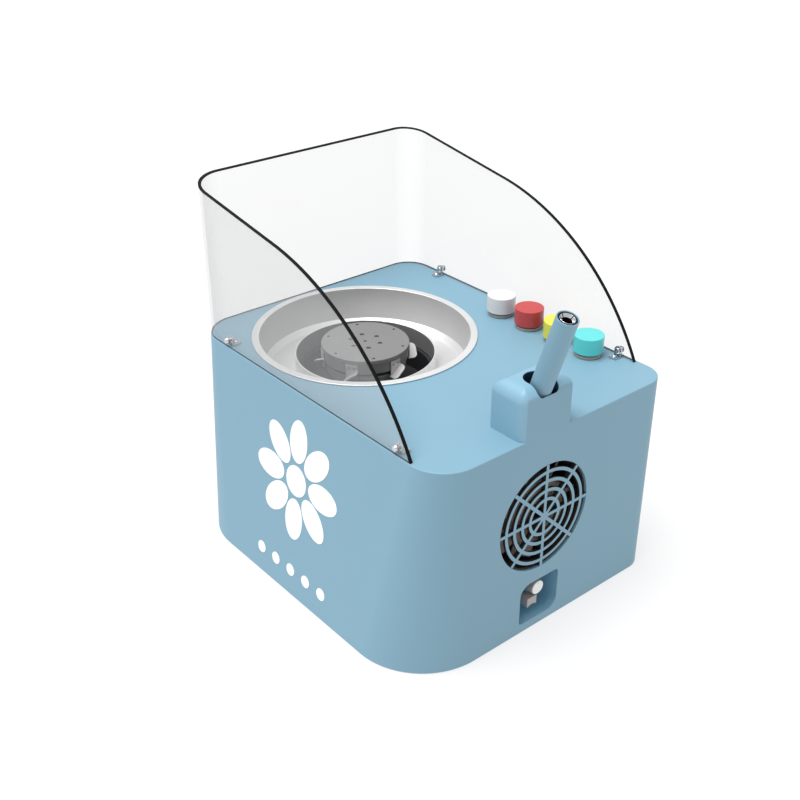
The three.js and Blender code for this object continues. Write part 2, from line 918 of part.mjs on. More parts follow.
// The side profile, in Y and Z: level rear top, straight slope, then an arc down to the deck.
function shieldProfile() {
  const bendZ = shieldTop - (shieldRear - shieldBendY) * Math.tan(shieldSlope);
  const centreY = shieldBendY + shieldArcRadius * Math.sin(shieldSlope);
  const centreZ = bendZ - shieldArcRadius * Math.cos(shieldSlope);
  const foot = Math.asin((shieldBottom - centreZ) / shieldArcRadius);
  const points = [
    new THREE.Vector2(shieldRear + 1, shieldBottom),
    new THREE.Vector2(shieldRear + 1, shieldTop),
    new THREE.Vector2(shieldRear, shieldTop),
  ];
  const start = Math.PI / 2 + shieldSlope;
  const end = Math.PI - foot;
  const steps = 14;
  for (let i = 0; i <= steps; i++) {
    const angle = start + ((end - start) * i) / steps;
    points.push(
      new THREE.Vector2(
        centreY + shieldArcRadius * Math.cos(angle),
        centreZ + shieldArcRadius * Math.sin(angle),
      ),
    );
  }
  return points;
}

function shieldOutline(inset) {
  const low = frontY - 60;
  const rightRadius = rightRearRadius - shieldInset - inset;
  const leftRadius = deckCornerRadius - shieldInset - inset;
  return roundedOutline(
    shieldLeft + inset,
    shieldRight - inset,
    low,
    shieldRear - inset,
    [1, rightRadius, leftRadius, 1],
    8,
  );
}

const bracketLeft = shieldLeft + shieldSheet + gap;
const bracketRight = shieldRight - shieldSheet - gap;
const bracketSpots = [
  { name: "left_rear", x: bracketLeft, y: rearY - bracketRear, turn: 0 },
  { name: "left_front", x: bracketLeft, y: frontY + bracketFront, turn: 0 },
  { name: "right_rear", x: bracketRight, y: rearY - bracketRear, turn: Math.PI },
  { name: "right_front", x: bracketRight, y: frontY + bracketFront, turn: Math.PI },
];
const boltZ = shieldBottom + bracketReach - bracketWidth / 2;

function windShield() {
  const height = shieldTop - shieldBottom;
  const wrap = cut(
    prism(shieldOutline(0), height).translate(0, 0, shieldBottom),
    prism(shieldOutline(shieldSheet), height + 20).translate(0, 0, shieldBottom - 10),
  );
  const under = prism(shieldProfile(), bodyWidth + 20)
    .rotateX(Math.PI / 2)
    .rotateZ(Math.PI / 2)
    .translate(-bodyWidth / 2 - 10, 0, 0);
  const boltHoles = bracketSpots.map(({ x, y }) =>
    rod(bracketBolt + gap, -8, 16, 10).rotateY(Math.PI / 2).translate(x, y, boltZ),
  );
  return cut(overlap(wrap, under), ...boltHoles);
}

// An angle bracket with its upright against a panel at x = 0 and its foot on the deck.
function shieldBracket() {
  const half = bracketWidth / 2;
  const upright = roundedOutline(-half, half, 0, bracketReach, [0.3, half - 0.1, half - 0.1, 0.3], 4);
  const back = prism(upright, bracketSheet)
    .rotateX(Math.PI / 2)
    .rotateZ(Math.PI / 2)
    .translate(0, 0, shieldBottom);
  const foot = box([0, -half, shieldBottom], [bracketReach, half, shieldBottom + bracketSheet]);
  const deckScrew = rod(2.6, shieldBottom + 1, bracketSheet + 0.6, 12).translate(7, 0, 0);
  const boltHole = rod(bracketBolt + gap, -5, 10, 10).rotateY(Math.PI / 2).translate(0, 0, boltZ);
  return cut(join(back, foot, deckScrew), boltHole);
}

// A bolt through panel and bracket, head inside and cap nut outside.
function shieldBolt() {
  const inner = bracketSheet + gap;
  const outer = -(shieldSheet + 2 * gap);
  const profile = [
    [0, outer - 1.6],
    [2.6, outer - 1.6],
    [3.4, outer],
    [bracketBolt, outer],
    [bracketBolt, inner],
    [3.4, inner],
    [2.6, inner + 1.8],
    [0, inner + 1.8],
  ];
  return turned(profile, 10).rotateY(Math.PI / 2).translate(0, 0, boltZ);
}

// ---- electrics ----------------------------------------------------------------------------
const rockerX = inletX + 14;
const rockerWidth = 12;
const rockerHeight = 20;

function powerInlet() {
  const w = inletWidth / 2 - gap;
  const h = inletHeight / 2 - gap;
  const face = rearY - 0.6;
  const body = box([inletX - w, face - inletDepth, inletZ - h], [inletX + w, face, inletZ + h]);
  const flange = box(
    [inletX - w - 4, face - 5, inletZ - h - 4],
    [inletX + w + 4, rearY - wall - gap, inletZ + h + 4],
  );
  const socketX = inletX - 9;
  const socket = box([socketX - 12, face - 18, inletZ - 8], [socketX + 12, face + 1, inletZ + 8]);
  const pins = [-7, 0, 7].map((x) =>
    box([socketX + x - 1, face - 20, inletZ - 2], [socketX + x + 1, face - 7, inletZ + 2]),
  );
  const bay = box(
    [rockerX - rockerWidth / 2, face - 14, inletZ - rockerHeight / 2],
    [rockerX + rockerWidth / 2, face + 1, inletZ + rockerHeight / 2],
  );
  return join(cut(join(body, flange), socket, bay), ...pins);
}

const rockerTilt = 7;
const rockerSetback = 4; // its pivot behind the rear face

// The rocker at rest, tipped towards off, about its own pivot at the origin.
function powerRocker() {
  const w = rockerWidth / 2 - 0.5;
  const h = rockerHeight / 2 - 1.4;
  const paddle = box([-w, -4, -h], [w, 2.6, h]);
  const back = rod(4.5, -w, 2 * w, 16).rotateY(Math.PI / 2).translate(0, -2, 0);
  return join(paddle, back).rotateX(THREE.MathUtils.degToRad(-rockerTilt));
}

const floorZ = plateBottom + plateThickness + gap;

function controlBoard() {
  const sheet = box([-40, -45, floorZ + 8], [40, 45, floorZ + 9.6]);
  const posts = [-1, 1].flatMap((x) =>
    [-1, 1].map((y) => rod(3, floorZ, 8.5, 10).translate(x * 35, y * 40, 0)),
  );
  const parts = [
    box([-30, -35, floorZ + 9], [-8, -10, floorZ + 24]),
    box([0, -38, floorZ + 9], [30, -28, floorZ + 20]),
    box([5, -15, floorZ + 9], [25, 5, floorZ + 14]),
    box([-32, 10, floorZ + 9], [-12, 36, floorZ + 26]),
    box([0, 20, floorZ + 9], [32, 38, floorZ + 18]),
  ];
  return join(sheet, ...posts, ...parts);
}

function powerSupply() {
  const can = box([-45, -35, floorZ], [45, 35, floorZ + 38]);
  const terminal = box([-30, -44, floorZ + 3], [30, -34, floorZ + 14]);
  return join(can, terminal);
}

// ---- assembly -----------------------------------------------------------------------------
const machine = new THREE.Group();

function place(parent, name, geometry, material, x = 0, y = 0, z = 0) {
  const mesh = new THREE.Mesh(geometry, material);
  mesh.name = name;
  mesh.position.set(x, y, z);
  parent.add(mesh);
  return mesh;
}

place(machine, "body_shell", bodyShell(), blueShell);
place(machine, "base_plate", basePlate(), darkMetal);
const feet = [
  ["foot_left_front", leftX(0) + footInset + 15, frontY + footInset + 15],
  ["foot_left_rear", leftX(0) + footInset + 15, rearY - footInset - 15],
  ["foot_right_front", rightX - footInset, frontY + footInset],
  ["foot_right_rear", rightX - footInset, rearY - footInset],
];
for (const [name, x, y] of feet) place(machine, name, foot(), rubber, x, y);

place(machine, "pan_bowl", panBowl(), panAluminium, panX, panY);
place(machine, "heater_well", heaterWell(), darkMetal, panX, panY);
place(machine, "drive_motor", driveMotor(), steel, panX, panY);
place(machine, "motor_bracket", motorBracket(), steel, panX, panY);
place(machine, "brush_holder", brushHolder(), blackPlastic, panX, panY);

const spinner = new THREE.Group();
spinner.position.set(panX, panY, 0);
machine.add(spinner);
place(spinner, "head_plate", headPlate(), headMetal);
place(spinner, "head_drum", headDrum(), headMetal);
place(spinner, "heater_ring", heaterRing(), darkMetal);
place(spinner, "head_base", headBase(), headMetal);
place(spinner, "drive_shaft", driveShaft(), steel);
place(spinner, "slip_rings", slipRings(), brass);
for (let i = 0; i < bladeCount; i++) {
  const blade = place(spinner, `head_blade_${i + 1}`, headBlade(), headMetal);
  blade.rotation.z = THREE.MathUtils.degToRad(bladeStart + (360 * i) / bladeCount);
}

place(machine, "fan_grille", fanGrille(), blueShell);
place(machine, "fan_frame", fanFrame(), blackPlastic);
const rotor = place(machine, "fan_rotor", fanRotor(), rotorPlastic, fanX, frontY, fanZ);
rotor.rotation.x = -Math.PI / 2;

place(machine, "recess_tub", recessTub(), blueInner);
place(machine, "speed_knob", speedKnob(), whitePlastic, knobX, 0, knobZ);
place(machine, "knob_bracket", knobBracket(), greyPlastic);
place(machine, "potentiometer", potentiometer(), steel);

capColours.forEach(([colour, hex], i) => {
  place(machine, `${colour}_collar`, buttonCollar(), steel, capX, capYs[i]);
  place(machine, `${colour}_cap`, buttonCap(), paint(hex, 0.35), capX, capYs[i]);
});

place(machine, "wand_sleeve", wandSleeve(), pocketBlue);
const wand = new THREE.Group();
wand.position.copy(wandFoot);
wand.rotation.x = wandLean;
machine.add(wand);
place(wand, "wand_tube", wandTube(), blueShell);
place(wand, "wand_tail_cap", wandTailCap(), blueShell);
place(wand, "wand_battery", wandBattery(), greyPlastic);
place(wand, "wand_motor", wandMotor(), steel);
place(wand, "collet", collet(), steel);
place(wand, "collet_ring", colletRing(), blackPlastic);

place(machine, "wind_shield", windShield(), clear);
for (const { name, x, y, turn } of bracketSpots) {
  const bracket = place(machine, `bracket_${name}`, shieldBracket(), steel, x, y);
  bracket.rotation.z = turn;
  const bolt = place(machine, `bolt_${name}`, shieldBolt(), steel, x, y);
  bolt.rotation.z = turn;
}

place(machine, "power_inlet", powerInlet(), blackPlastic);
place(machine, "power_rocker", powerRocker(), blackPlastic, rockerX, rearY - rockerSetback, inletZ);
place(machine, "control_board", controlBoard(), board, -95, -75);
place(machine, "power_supply", powerSupply(), steel, 100, -95);

// The wand leans out over the front, so the body sits back to keep the origin mid-length.
const wandTopY = wandFoot.y + wandLength * wandAxis.y;
const wandFrontY = wandTopY - wandRadius * Math.cos(wandLean);
machine.position.y = (frontY - wandFrontY) / 2;

const part = new THREE.Group();
part.add(machine);

export default part;
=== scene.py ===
import math

import bmesh
import bpy
from mathutils import Matrix, Vector


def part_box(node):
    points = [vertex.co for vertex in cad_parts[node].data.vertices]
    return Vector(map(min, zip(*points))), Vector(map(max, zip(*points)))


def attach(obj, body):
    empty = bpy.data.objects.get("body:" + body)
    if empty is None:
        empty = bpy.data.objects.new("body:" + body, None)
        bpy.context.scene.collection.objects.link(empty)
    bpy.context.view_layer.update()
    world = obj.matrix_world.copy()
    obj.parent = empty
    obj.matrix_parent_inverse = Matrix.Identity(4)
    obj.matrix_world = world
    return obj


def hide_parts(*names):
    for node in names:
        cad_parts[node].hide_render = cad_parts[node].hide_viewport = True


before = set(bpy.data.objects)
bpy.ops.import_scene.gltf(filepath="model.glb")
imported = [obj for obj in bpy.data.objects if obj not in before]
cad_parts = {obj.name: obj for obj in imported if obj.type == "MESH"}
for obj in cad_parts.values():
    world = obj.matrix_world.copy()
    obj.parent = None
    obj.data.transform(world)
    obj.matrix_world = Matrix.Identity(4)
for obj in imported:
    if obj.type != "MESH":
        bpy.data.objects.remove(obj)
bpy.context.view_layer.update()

bpy.context.scene.view_settings.view_transform = "Standard"


# ---- places, all read from the frame ----
def middle(node):
    low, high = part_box(node)
    return (low + high) / 2


shellLow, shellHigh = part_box("body_shell")
frontY, rearY, rightX = shellLow.y, shellHigh.y, shellHigh.x
panAxis = middle("head_plate")
fanAxis = middle("fan_frame")
colours = ["white", "red", "yellow", "cyan"]
corners = ["left_rear", "left_front", "right_rear", "right_front"]


# ---- small tools ----
def shift(x, y, z=0):
    return Matrix.Translation((x, y, z))


def rotate(degrees, axis="Z"):
    return Matrix.Rotation(math.radians(degrees), 4, axis)


here = Matrix.Identity(4)
gap = 0.0003  # left between neighbouring pieces
hair = 0.0001  # keeps two faces from lying in one plane
over = 0.001  # how far a cut runs past a face
aside, overhead = 0.100, 0.400  # how far a cutting block reaches
intoFront = rotate(-90, "X")  # lays a piece built along +Z down behind the front face


def pour(target, source, place=here):
    source.transform(place)
    carrier = bpy.data.meshes.new("carrier")
    source.to_mesh(carrier)
    source.free()
    target.from_mesh(carrier)
    bpy.data.meshes.remove(carrier)


def outward(bm):
    bmesh.ops.recalc_face_normals(bm, faces=bm.faces)
    return bm


def bevelled(bm, parts, offset, steps, affect="EDGES", clamp=True):
    bmesh.ops.bevel(
        bm, geom=parts, offset=offset, offset_type="OFFSET", segments=steps,
        profile=0.5, affect=affect, material=-1, clamp_overlap=clamp,
    )


def turned(profile, edge=0, steps=96):
    # spins (radius, height) points about Z; a profile that starts off the axis is closed to a ring
    bm = bmesh.new()
    closed = profile[0][0] > 0
    points = [bm.verts.new((radius, 0, height)) for radius, height in profile]
    if closed:
        bm.faces.new(points)
        soft = points
    else:
        for pair in zip(points, points[1:]):
            bm.edges.new(pair)
        soft = points[1:-1]
    if edge:
        bevelled(bm, soft, edge, 3, "VERTICES")
    if closed:
        bmesh.ops.delete(bm, geom=list(bm.faces), context="FACES_ONLY")
    bmesh.ops.spin(
        bm, geom=bm.verts[:] + bm.edges[:], cent=(0, 0, 0), axis=(0, 0, 1),
        angle=2 * math.pi, steps=steps, use_merge=True,
    )
    bmesh.ops.remove_doubles(bm, verts=bm.verts, dist=1e-7)
    return outward(bm)


def block(low, high, edge=0):
    bm = bmesh.new()
    bmesh.ops.create_cube(bm, size=1)
    low, high = Vector(low), Vector(high)
    bmesh.ops.scale(bm, vec=high - low, verts=bm.verts)
    bmesh.ops.translate(bm, vec=(low + high) / 2, verts=bm.verts)
    if edge:
        bevelled(bm, bm.edges[:], edge, 2)
    return bm


def rod(radius, low, high, sides=48):
    bm = bmesh.new()
    bmesh.ops.create_cone(
        bm, cap_ends=True, segments=sides, radius1=radius, radius2=radius, depth=high - low
    )
    bmesh.ops.translate(bm, vec=(0, 0, (low + high) / 2), verts=bm.verts)
    return bm


def roundedFace(left, right, front, rear, height, radii, steps):
    # radii: right front, right rear, left rear, left front
    bm = bmesh.new()
    spots = [(right, front), (right, rear), (left, rear), (left, front)]
    verts = [bm.verts.new((x, y, height)) for x, y in spots]
    bm.faces.new(verts)
    for vert, radius in zip(verts, radii):
        bevelled(bm, [vert], radius, steps, "VERTICES", False)
    return bm


def vertsIn(items):
    return [item for item in items if isinstance(item, bmesh.types.BMVert)]


def pulled(bm, vector):
    # pulls a flat face out into a solid
    swept = bmesh.ops.extrude_face_region(bm, geom=bm.faces[:])
    bmesh.ops.translate(bm, vec=vector, verts=vertsIn(swept["geom"]))
    return outward(bm)


def bridged(lower, upper):
    # a solid between two outlines with the same number of corners
    pour(lower, upper)
    bmesh.ops.bridge_loops(lower, edges=lower.edges[:])
    return outward(lower)


def asObject(name, bm):
    mesh = bpy.data.meshes.new(name)
    bm.to_mesh(mesh)
    bm.free()
    piece = bpy.data.objects.new(name, mesh)
    bpy.context.scene.collection.objects.link(piece)
    return piece


def settle(piece):
    # applies the piece's modifiers
    graph = bpy.context.evaluated_depsgraph_get()
    done = bpy.data.meshes.new_from_object(piece.evaluated_get(graph))
    piece.modifiers.clear()
    was = piece.data
    piece.data = done
    bpy.data.meshes.remove(was)


def carve(piece, tool, operation="DIFFERENCE"):
    other = asObject("tool", tool)
    change = piece.modifiers.new("carve", "BOOLEAN")
    change.solver = "EXACT"
    change.operation = operation
    change.object = other
    settle(piece)
    bpy.data.objects.remove(other)


def softEdges(piece, width, angle=50):
    change = piece.modifiers.new("edges", "BEVEL")
    change.width = width
    change.segments = 2
    change.limit_method = "ANGLE"
    change.angle_limit = math.radians(angle)
    change.use_clamp_overlap = True
    settle(piece)


def dress(piece, place, body, slot, material, stands=(), smooth=30):
    piece.data.transform(place)
    piece.data.materials.clear()
    piece.data.materials.append(material)
    piece.data.shade_smooth()
    piece.data.set_sharp_from_angle(angle=math.radians(smooth))
    # keeps the large faces flat beside their bevels
    change = piece.modifiers.new("normals", "WEIGHTED_NORMAL")
    change.keep_sharp = True
    change.weight = 60
    settle(piece)
    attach(piece, body)
    if stands:
        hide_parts(*stands)
    return piece


def made(name, bm, *rest, smooth=30):
    return dress(asObject(name, bm), *rest, smooth=smooth)


# ---- finishes ----
def colour(text):
    parts = [int(text[i:i + 2], 16) / 255 for i in (0, 2, 4)]
    return [v / 12.92 if v <= 0.04045 else ((v + 0.055) / 1.055) ** 2.4 for v in parts] + [1]


def startMaterial(name):
    material = bpy.data.materials.new(name)
    material.use_nodes = True
    tree = material.node_tree
    return material, tree, tree.nodes["Principled BSDF"].inputs


def onObject(tree):
    return tree.nodes.new("ShaderNodeTexCoord").outputs["Object"]


def noise(tree, source, scale, detail=3):
    texture = tree.nodes.new("ShaderNodeTexNoise")
    texture.inputs["Scale"].default_value = scale
    texture.inputs["Detail"].default_value = detail
    tree.links.new(source, texture.inputs["Vector"])
    return texture.outputs["Fac"]


def spread(tree, source, low, high):
    mapped = tree.nodes.new("ShaderNodeMapRange")
    mapped.inputs["To Min"].default_value = low
    mapped.inputs["To Max"].default_value = high
    tree.links.new(source, mapped.inputs["Value"])
    return mapped.outputs["Result"]


def blended(tree, factor, first, second):
    mix = tree.nodes.new("ShaderNodeMix")
    mix.data_type = "RGBA"
    tree.links.new(factor, mix.inputs["Factor"])
    mix.inputs["A"].default_value = first
    mix.inputs["B"].default_value = second
    return mix.outputs["Result"]


def shaded(tone, share):
    return [min(1, v * share) for v in tone[:3]] + [1]


def surfaced(started, tone, tints, slow, sheen, roughness, uneven, relief, strength, depth, metal):
    # a drifting tone, an uneven sheen and a fine relief
    material, tree, sockets = started
    mixed = blended(tree, slow, shaded(tone, tints[0]), shaded(tone, tints[1]))
    tree.links.new(mixed, sockets["Base Color"])
    tree.links.new(spread(tree, sheen, roughness - uneven, roughness + uneven), sockets["Roughness"])
    bump = tree.nodes.new("ShaderNodeBump")
    bump.inputs["Strength"].default_value = strength
    bump.inputs["Distance"].default_value = depth
    tree.links.new(relief, bump.inputs["Height"])
    tree.links.new(bump.outputs["Normal"], sockets["Normal"])
    sockets["Metallic"].default_value = metal
    return material


def moulded(name, tone, roughness=0.45, grain=1500, depth=0.00004, drift=0.03, metal=0):
    # plastic or paint: slow colour drift, fine spark-eroded grain, uneven sheen
    started = startMaterial(name)
    tree = started[1]
    where = onObject(tree)
    slow, fine = noise(tree, where, 11, 4), noise(tree, where, grain, 2)
    tints = (1 - drift, 1 + drift)
    return surfaced(started, tone, tints, slow, slow, roughness, 0.05, fine, 0.35, depth, metal)


def spunMetal(name, tone, centre, roughness=0.4, metal=0.9, pitch=260, depth=0.00003):
    # fine turning marks round a vertical axis
    started = startMaterial(name)
    tree = started[1]
    where = onObject(tree)
    centred = tree.nodes.new("ShaderNodeMapping")
    centred.inputs["Location"].default_value = (-centre[0], -centre[1], 0)
    tree.links.new(where, centred.inputs["Vector"])
    rings = tree.nodes.new("ShaderNodeTexWave")
    rings.wave_type = "RINGS"
    rings.rings_direction = "Z"
    rings.inputs["Scale"].default_value = pitch
    rings.inputs["Distortion"].default_value = 0.6
    rings.inputs["Detail"].default_value = 2
    tree.links.new(centred.outputs["Vector"], rings.inputs["Vector"])
    slow, marks = noise(tree, where, 25, 4), rings.outputs["Fac"]
    return surfaced(started, tone, (0.95, 1.04), slow, slow, roughness, 0.07, marks, 0.25, depth, metal)


def brushedMetal(name, tone, stretch=(1, 1, 40), roughness=0.32, metal=1.0, depth=0.00003):
    # straight brushing along the axis that is stretched least
    started = startMaterial(name)
    tree = started[1]
    where = onObject(tree)
    drawn = tree.nodes.new("ShaderNodeMapping")
    drawn.inputs["Scale"].default_value = stretch
    tree.links.new(where, drawn.inputs["Vector"])
    lines, slow = noise(tree, drawn.outputs["Vector"], 160), noise(tree, where, 30)
    return surfaced(started, tone, (0.94, 1.05), slow, lines, roughness, 0.08, lines, 0.2, depth, metal)


def clearSheet(name, tone, facing, grazing, roughness):
    # polished acrylic: faint haze, uneven by a little handling, denser where it is seen edge on
    material, tree, sockets = startMaterial(name)
    slow = noise(tree, onObject(tree), 7)
    tree.links.new(blended(tree, slow, shaded(tone, 0.97), tone), sockets["Base Color"])
    tree.links.new(spread(tree, slow, roughness, roughness + 0.05), sockets["Roughness"])
    angle = tree.nodes.new("ShaderNodeLayerWeight")
    angle.inputs["Blend"].default_value = 0.35
    tree.links.new(spread(tree, angle.outputs["Facing"], facing, grazing), sockets["Alpha"])
    sockets["IOR"].default_value = 1.49
    return material


tones = {
    "shell": "7399ac", "holder": "7ba3b8", "recess": "70a0ba", "pocket": "1f3850", "pan": "e9e9e9",
    "panWall": "c4c4c4", "plate": "868686", "head": "909090", "blade": "bcbcbc", "dark": "3a3c3e",
    "steel": "c9ccd0", "zinc": "b4b8bc", "brass": "b08d4a", "black": "161617", "fan": "2a2422",
    "rotor": "85796f", "white": "cdcdcd", "knobSide": "a59c96", "grey": "a7a29e", "collar": "a59a92",
    "rubber": "202020", "board": "2a5a3c", "red": "b23d3d", "yellow": "d0cc48", "cyan": "58c4c4",
}
tones = {name: colour(code) for name, code in tones.items()}

shellBlue = moulded("satin blue shell", tones["shell"], 0.5)
# a lighter copy of the shell blue: painted light on the holder's top and shoulders
holderPaintedLight = moulded("holder blue painted light", tones["holder"], 0.45)
recessBlue = moulded("recess blue", tones["recess"], 0.5)
# dark navy: painted shade down the deep wand pocket, on the sleeve and on the sheet inside the holder
pocketShadeBlue = moulded("pocket painted shade", tones["pocket"], 0.5)
panMetal = spunMetal("spun aluminium", tones["pan"], panAxis, 0.42, 0.75)
# a darker copy of the spun aluminium: painted shade on the pan's inner walls
panWallShadeMetal = spunMetal("spun wall painted shade", tones["panWall"], panAxis, 0.45, 0.75, 200)
plateMetal = spunMetal("machined plate", tones["plate"], panAxis, 0.42, 0.4, 340)
headMetal = spunMetal("machined head", tones["head"], panAxis, 0.42, 0.4, 340)
bladeMetal = brushedMetal("pressed blades", tones["blade"], (1, 1, 30), 0.35, 0.4)
darkMetal = moulded("heat coating", tones["dark"], 0.45, 900, metal=0.5)
brightSteel = brushedMetal("polished steel", tones["steel"], (30, 30, 1), 0.2)
zincSteel = brushedMetal("zinc plate", tones["zinc"], (1, 1, 30), 0.35)
caseAluminium = brushedMetal("brushed case", tones["zinc"], (1, 40, 40), 0.35)
turnedBrass = spunMetal("turned brass", tones["brass"], panAxis, 0.3, 1.0, 500)
blackPlastic = moulded("black moulding", tones["black"], 0.45)
fanPlastic = moulded("fan frame black", tones["fan"], 0.5)
rotorPlastic = moulded("fan rotor", tones["rotor"], 0.5)
knobWhite = moulded("white cap", colour("e8e8e8"), 0.35, 2200, drift=0.01)
knobSide = moulded("knob skirt", tones["knobSide"], 0.45)
greyPlastic = moulded("grey moulding", tones["grey"], 0.45)
collarMetal = brushedMetal("button collar", tones["collar"], (1, 1, 40), 0.4, 0.3)
footRubber = moulded("foot rubber", tones["rubber"], 0.85, 1200, 0.0001, 0.08)
boardGreen = moulded("solder mask", tones["board"], 0.35)
clearAcrylic = clearSheet("clear acrylic", colour("b4b6b7"), 0.085, 0.32, 0.04)
acrylicEdge = moulded("acrylic edge", colour("060708"), 0.6, 900, 0.00001, 0.02)
acrylicEdge.node_tree.nodes["Principled BSDF"].inputs["Specular IOR Level"].default_value = 0.15
# painted shadow of the fine gap where the clear sheet stands on the deck
gapShadowGrey = moulded("painted gap shadow", colour("2c3a44"), 0.6, 900, 0.00001, 0.02)
printWhite = moulded("white print", colour("eceeee"), 0.4, 1500, 0.00001, 0.01)
capFinish = {
    name: moulded(name + " cap", tones[name], 0.3, 2200, 0.00001, 0.015) for name in colours
}
print("finishes ready")

# ---- body ----
shell = {
    "deck": 0.225, "wall": 0.003, "lean": 0.029,
    "baseCorner": 0.078, "deckCorner": 0.039, "rightFront": 0.026, "rightRear": 0.028,
    "deckEdge": 0.0012, "cutEdge": 0.0005, "cornerSteps": 24, "behind": 0.0033,
    "panHole": 0.1138, "buttonHole": 0.0113, "holeLow": 0.210, "holeHigh": 0.240,
}
holder = {
    "left": -0.039, "right": 0.0245, "depth": 0.0422, "top": 0.275, "fillet": 0.013, "steps": 8,
    "sunk": 0.020, "leastCorner": 0.0008,
    "corners": [0.003, 0.008, 0.003, 0.009],  # right front, right rear, left rear, left front
}
pocket = {
    "radius": 0.0135, "front": 0.0114, "stretch": 0.006, "frontCorner": 0.005, "rearWall": 0.003,
    "sheet": 0.002, "floor": 0.003, "sleeveTop": 0.060, "shadeLow": 0.0225, "shadeTop": 0.090,
}
baseLeft = shellLow.x - shell["lean"] * shellLow.z / shell["deck"]
leanStretch = math.hypot(shell["lean"], shell["deck"]) / shell["deck"]


def wallX(z):
    return baseLeft + shell["lean"] * z / shell["deck"]


def shellSection(z, inset):
    share = z / shell["deck"]
    left = shell["baseCorner"] + (shell["deckCorner"] - shell["baseCorner"]) * share - inset
    radii = [shell["rightFront"] - inset, shell["rightRear"] - inset, left, left]
    return roundedFace(
        wallX(z) + inset * leanStretch, rightX - inset, frontY + inset, rearY - inset,
        z, radii, shell["cornerSteps"],
    )


wand = {"lean": 18, "radius": 0.0104, "length": 0.150, "wall": 0.0013, "tail": 0.012}
tubeLow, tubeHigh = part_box("wand_tube")
wandTop = Vector((
    (tubeLow.x + tubeHigh.x) / 2,
    tubeLow.y + wand["radius"] * math.cos(math.radians(wand["lean"])),
    tubeHigh.z - wand["radius"] * math.sin(math.radians(wand["lean"])),
))
wandAlong = rotate(wand["lean"], "X")
wandFoot = wandTop + wandAlong @ Vector((0, 0, -wand["length"]))
wandPlace = Matrix.Translation(wandFoot) @ wandAlong


def pocketCore(extra, low, high):
    radius = pocket["radius"] + extra
    front, back = pocket["frontCorner"] + extra, radius * 0.999
    face = roundedFace(
        -radius, radius, -pocket["front"] - extra, radius + pocket["stretch"],
        low, [front, back, back, front], 16,
    )
    core = pulled(face, (0, 0, high - low))
    core.transform(wandPlace)
    return core


recess = {
    "width": 0.052, "height": 0.047, "depth": 0.030, "big": 0.012, "small": 0.005,
    "x": -0.0017, "z": 0.034, "sheet": 0.002, "flange": 0.006, "flangeSheet": 0.0016, "open": 0.0063,
}


def recessCore(extra, near, far):
    # its outline is drawn flat, then stood up behind the front face
    big, small = recess["big"] + extra, recess["small"] + extra
    halfWidth, halfHeight = recess["width"] / 2 + extra, recess["height"] / 2 + extra
    face = roundedFace(-halfWidth, halfWidth, -halfHeight, halfHeight, near, [small, big, small, big], 8)
    core = pulled(face, (0, 0, far - near))
    core.transform(shift(recess["x"], frontY, recess["z"]) @ intoFront)
    return core


fan = {
    "opening": 0.058, "rings": [0.019, 0.029, 0.0395, 0.050], "bar": 0.0035, "barDepth": 0.003,
    "spokeDepth": 0.005, "rimInset": 0.0014, "rimReach": 0.006, "rimBack": 0.0053,
    "half": 0.060, "near": 0.0056, "depth": 0.025, "corner": 0.008, "bore": 0.056, "flare": 0.002,
    "flareDepth": 0.004, "strut": 0.002, "strutStart": 20, "hub": 0.036, "hubFront": 0.0066,
    "hubBack": 0.0256, "badge": 0.0095, "badgeSunk": 0.0006, "blades": 7, "bladeHalf": 0.010,
    "bladeSheet": 0.0009, "tipGap": 0.0045, "twist": 35,
}
fanPlace = shift(fanAxis.x, frontY, fanAxis.z) @ intoFront
inletLow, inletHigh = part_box("power_inlet")
inlet = {
    "border": 0.004, "proud": 0.0006, "flange": 0.005, "socketAside": 0.023, "socketHalf": (0.012, 0.008),
    "socketDeep": 0.019, "rockerHalf": (0.006, 0.010), "rockerDeep": 0.014,
    "pinPitch": 0.007, "pinHalf": (0.001, 0.002), "pinBack": 0.018, "pinTip": 0.007,
}


def holderSolid(inset):
    # upright sides, then a quarter-round shoulder in small steps
    fillet, steps = holder["fillet"], holder["steps"]
    levels = [(shell["deck"] - holder["sunk"], inset)]
    for i in range(steps + 1):
        angle = math.pi / 2 * i / steps
        height = holder["top"] - fillet - inset + fillet * math.sin(angle)
        levels.append((height, inset + fillet * (1 - math.cos(angle))))
    bm = bmesh.new()
    lastRim = []
    for number, (z, by) in enumerate(levels):
        section = roundedFace(
            holder["left"] + by, holder["right"] - by, frontY + by, frontY + holder["depth"] - by,
            z, [max(radius - by, holder["leastCorner"]) for radius in holder["corners"]], 8,
        )
        before = set(bm.edges)
        pour(bm, section)
        rim = [edge for edge in bm.edges if edge not in before]
        if 0 < number < len(levels) - 1:
            bmesh.ops.delete(bm, geom=list(rim[0].link_faces), context="FACES_ONLY")
        if lastRim:
            bmesh.ops.bridge_loops(bm, edges=lastRim + rim)
        lastRim = rim
    return outward(bm)


def holderMouth():
    # the pocket, stopped short of the holder's rear wall so that it doesn't break through it
    mouth = asObject("mouth", pocketCore(0, 0.002, 0.150))
    rear = frontY + holder["depth"] - pocket["rearWall"]
    carve(mouth, block((-aside, rear, 0), (aside, rear + aside, overhead)))
    bm = bmesh.new()
    bm.from_mesh(mouth.data)
    bpy.data.objects.remove(mouth)
    return bm


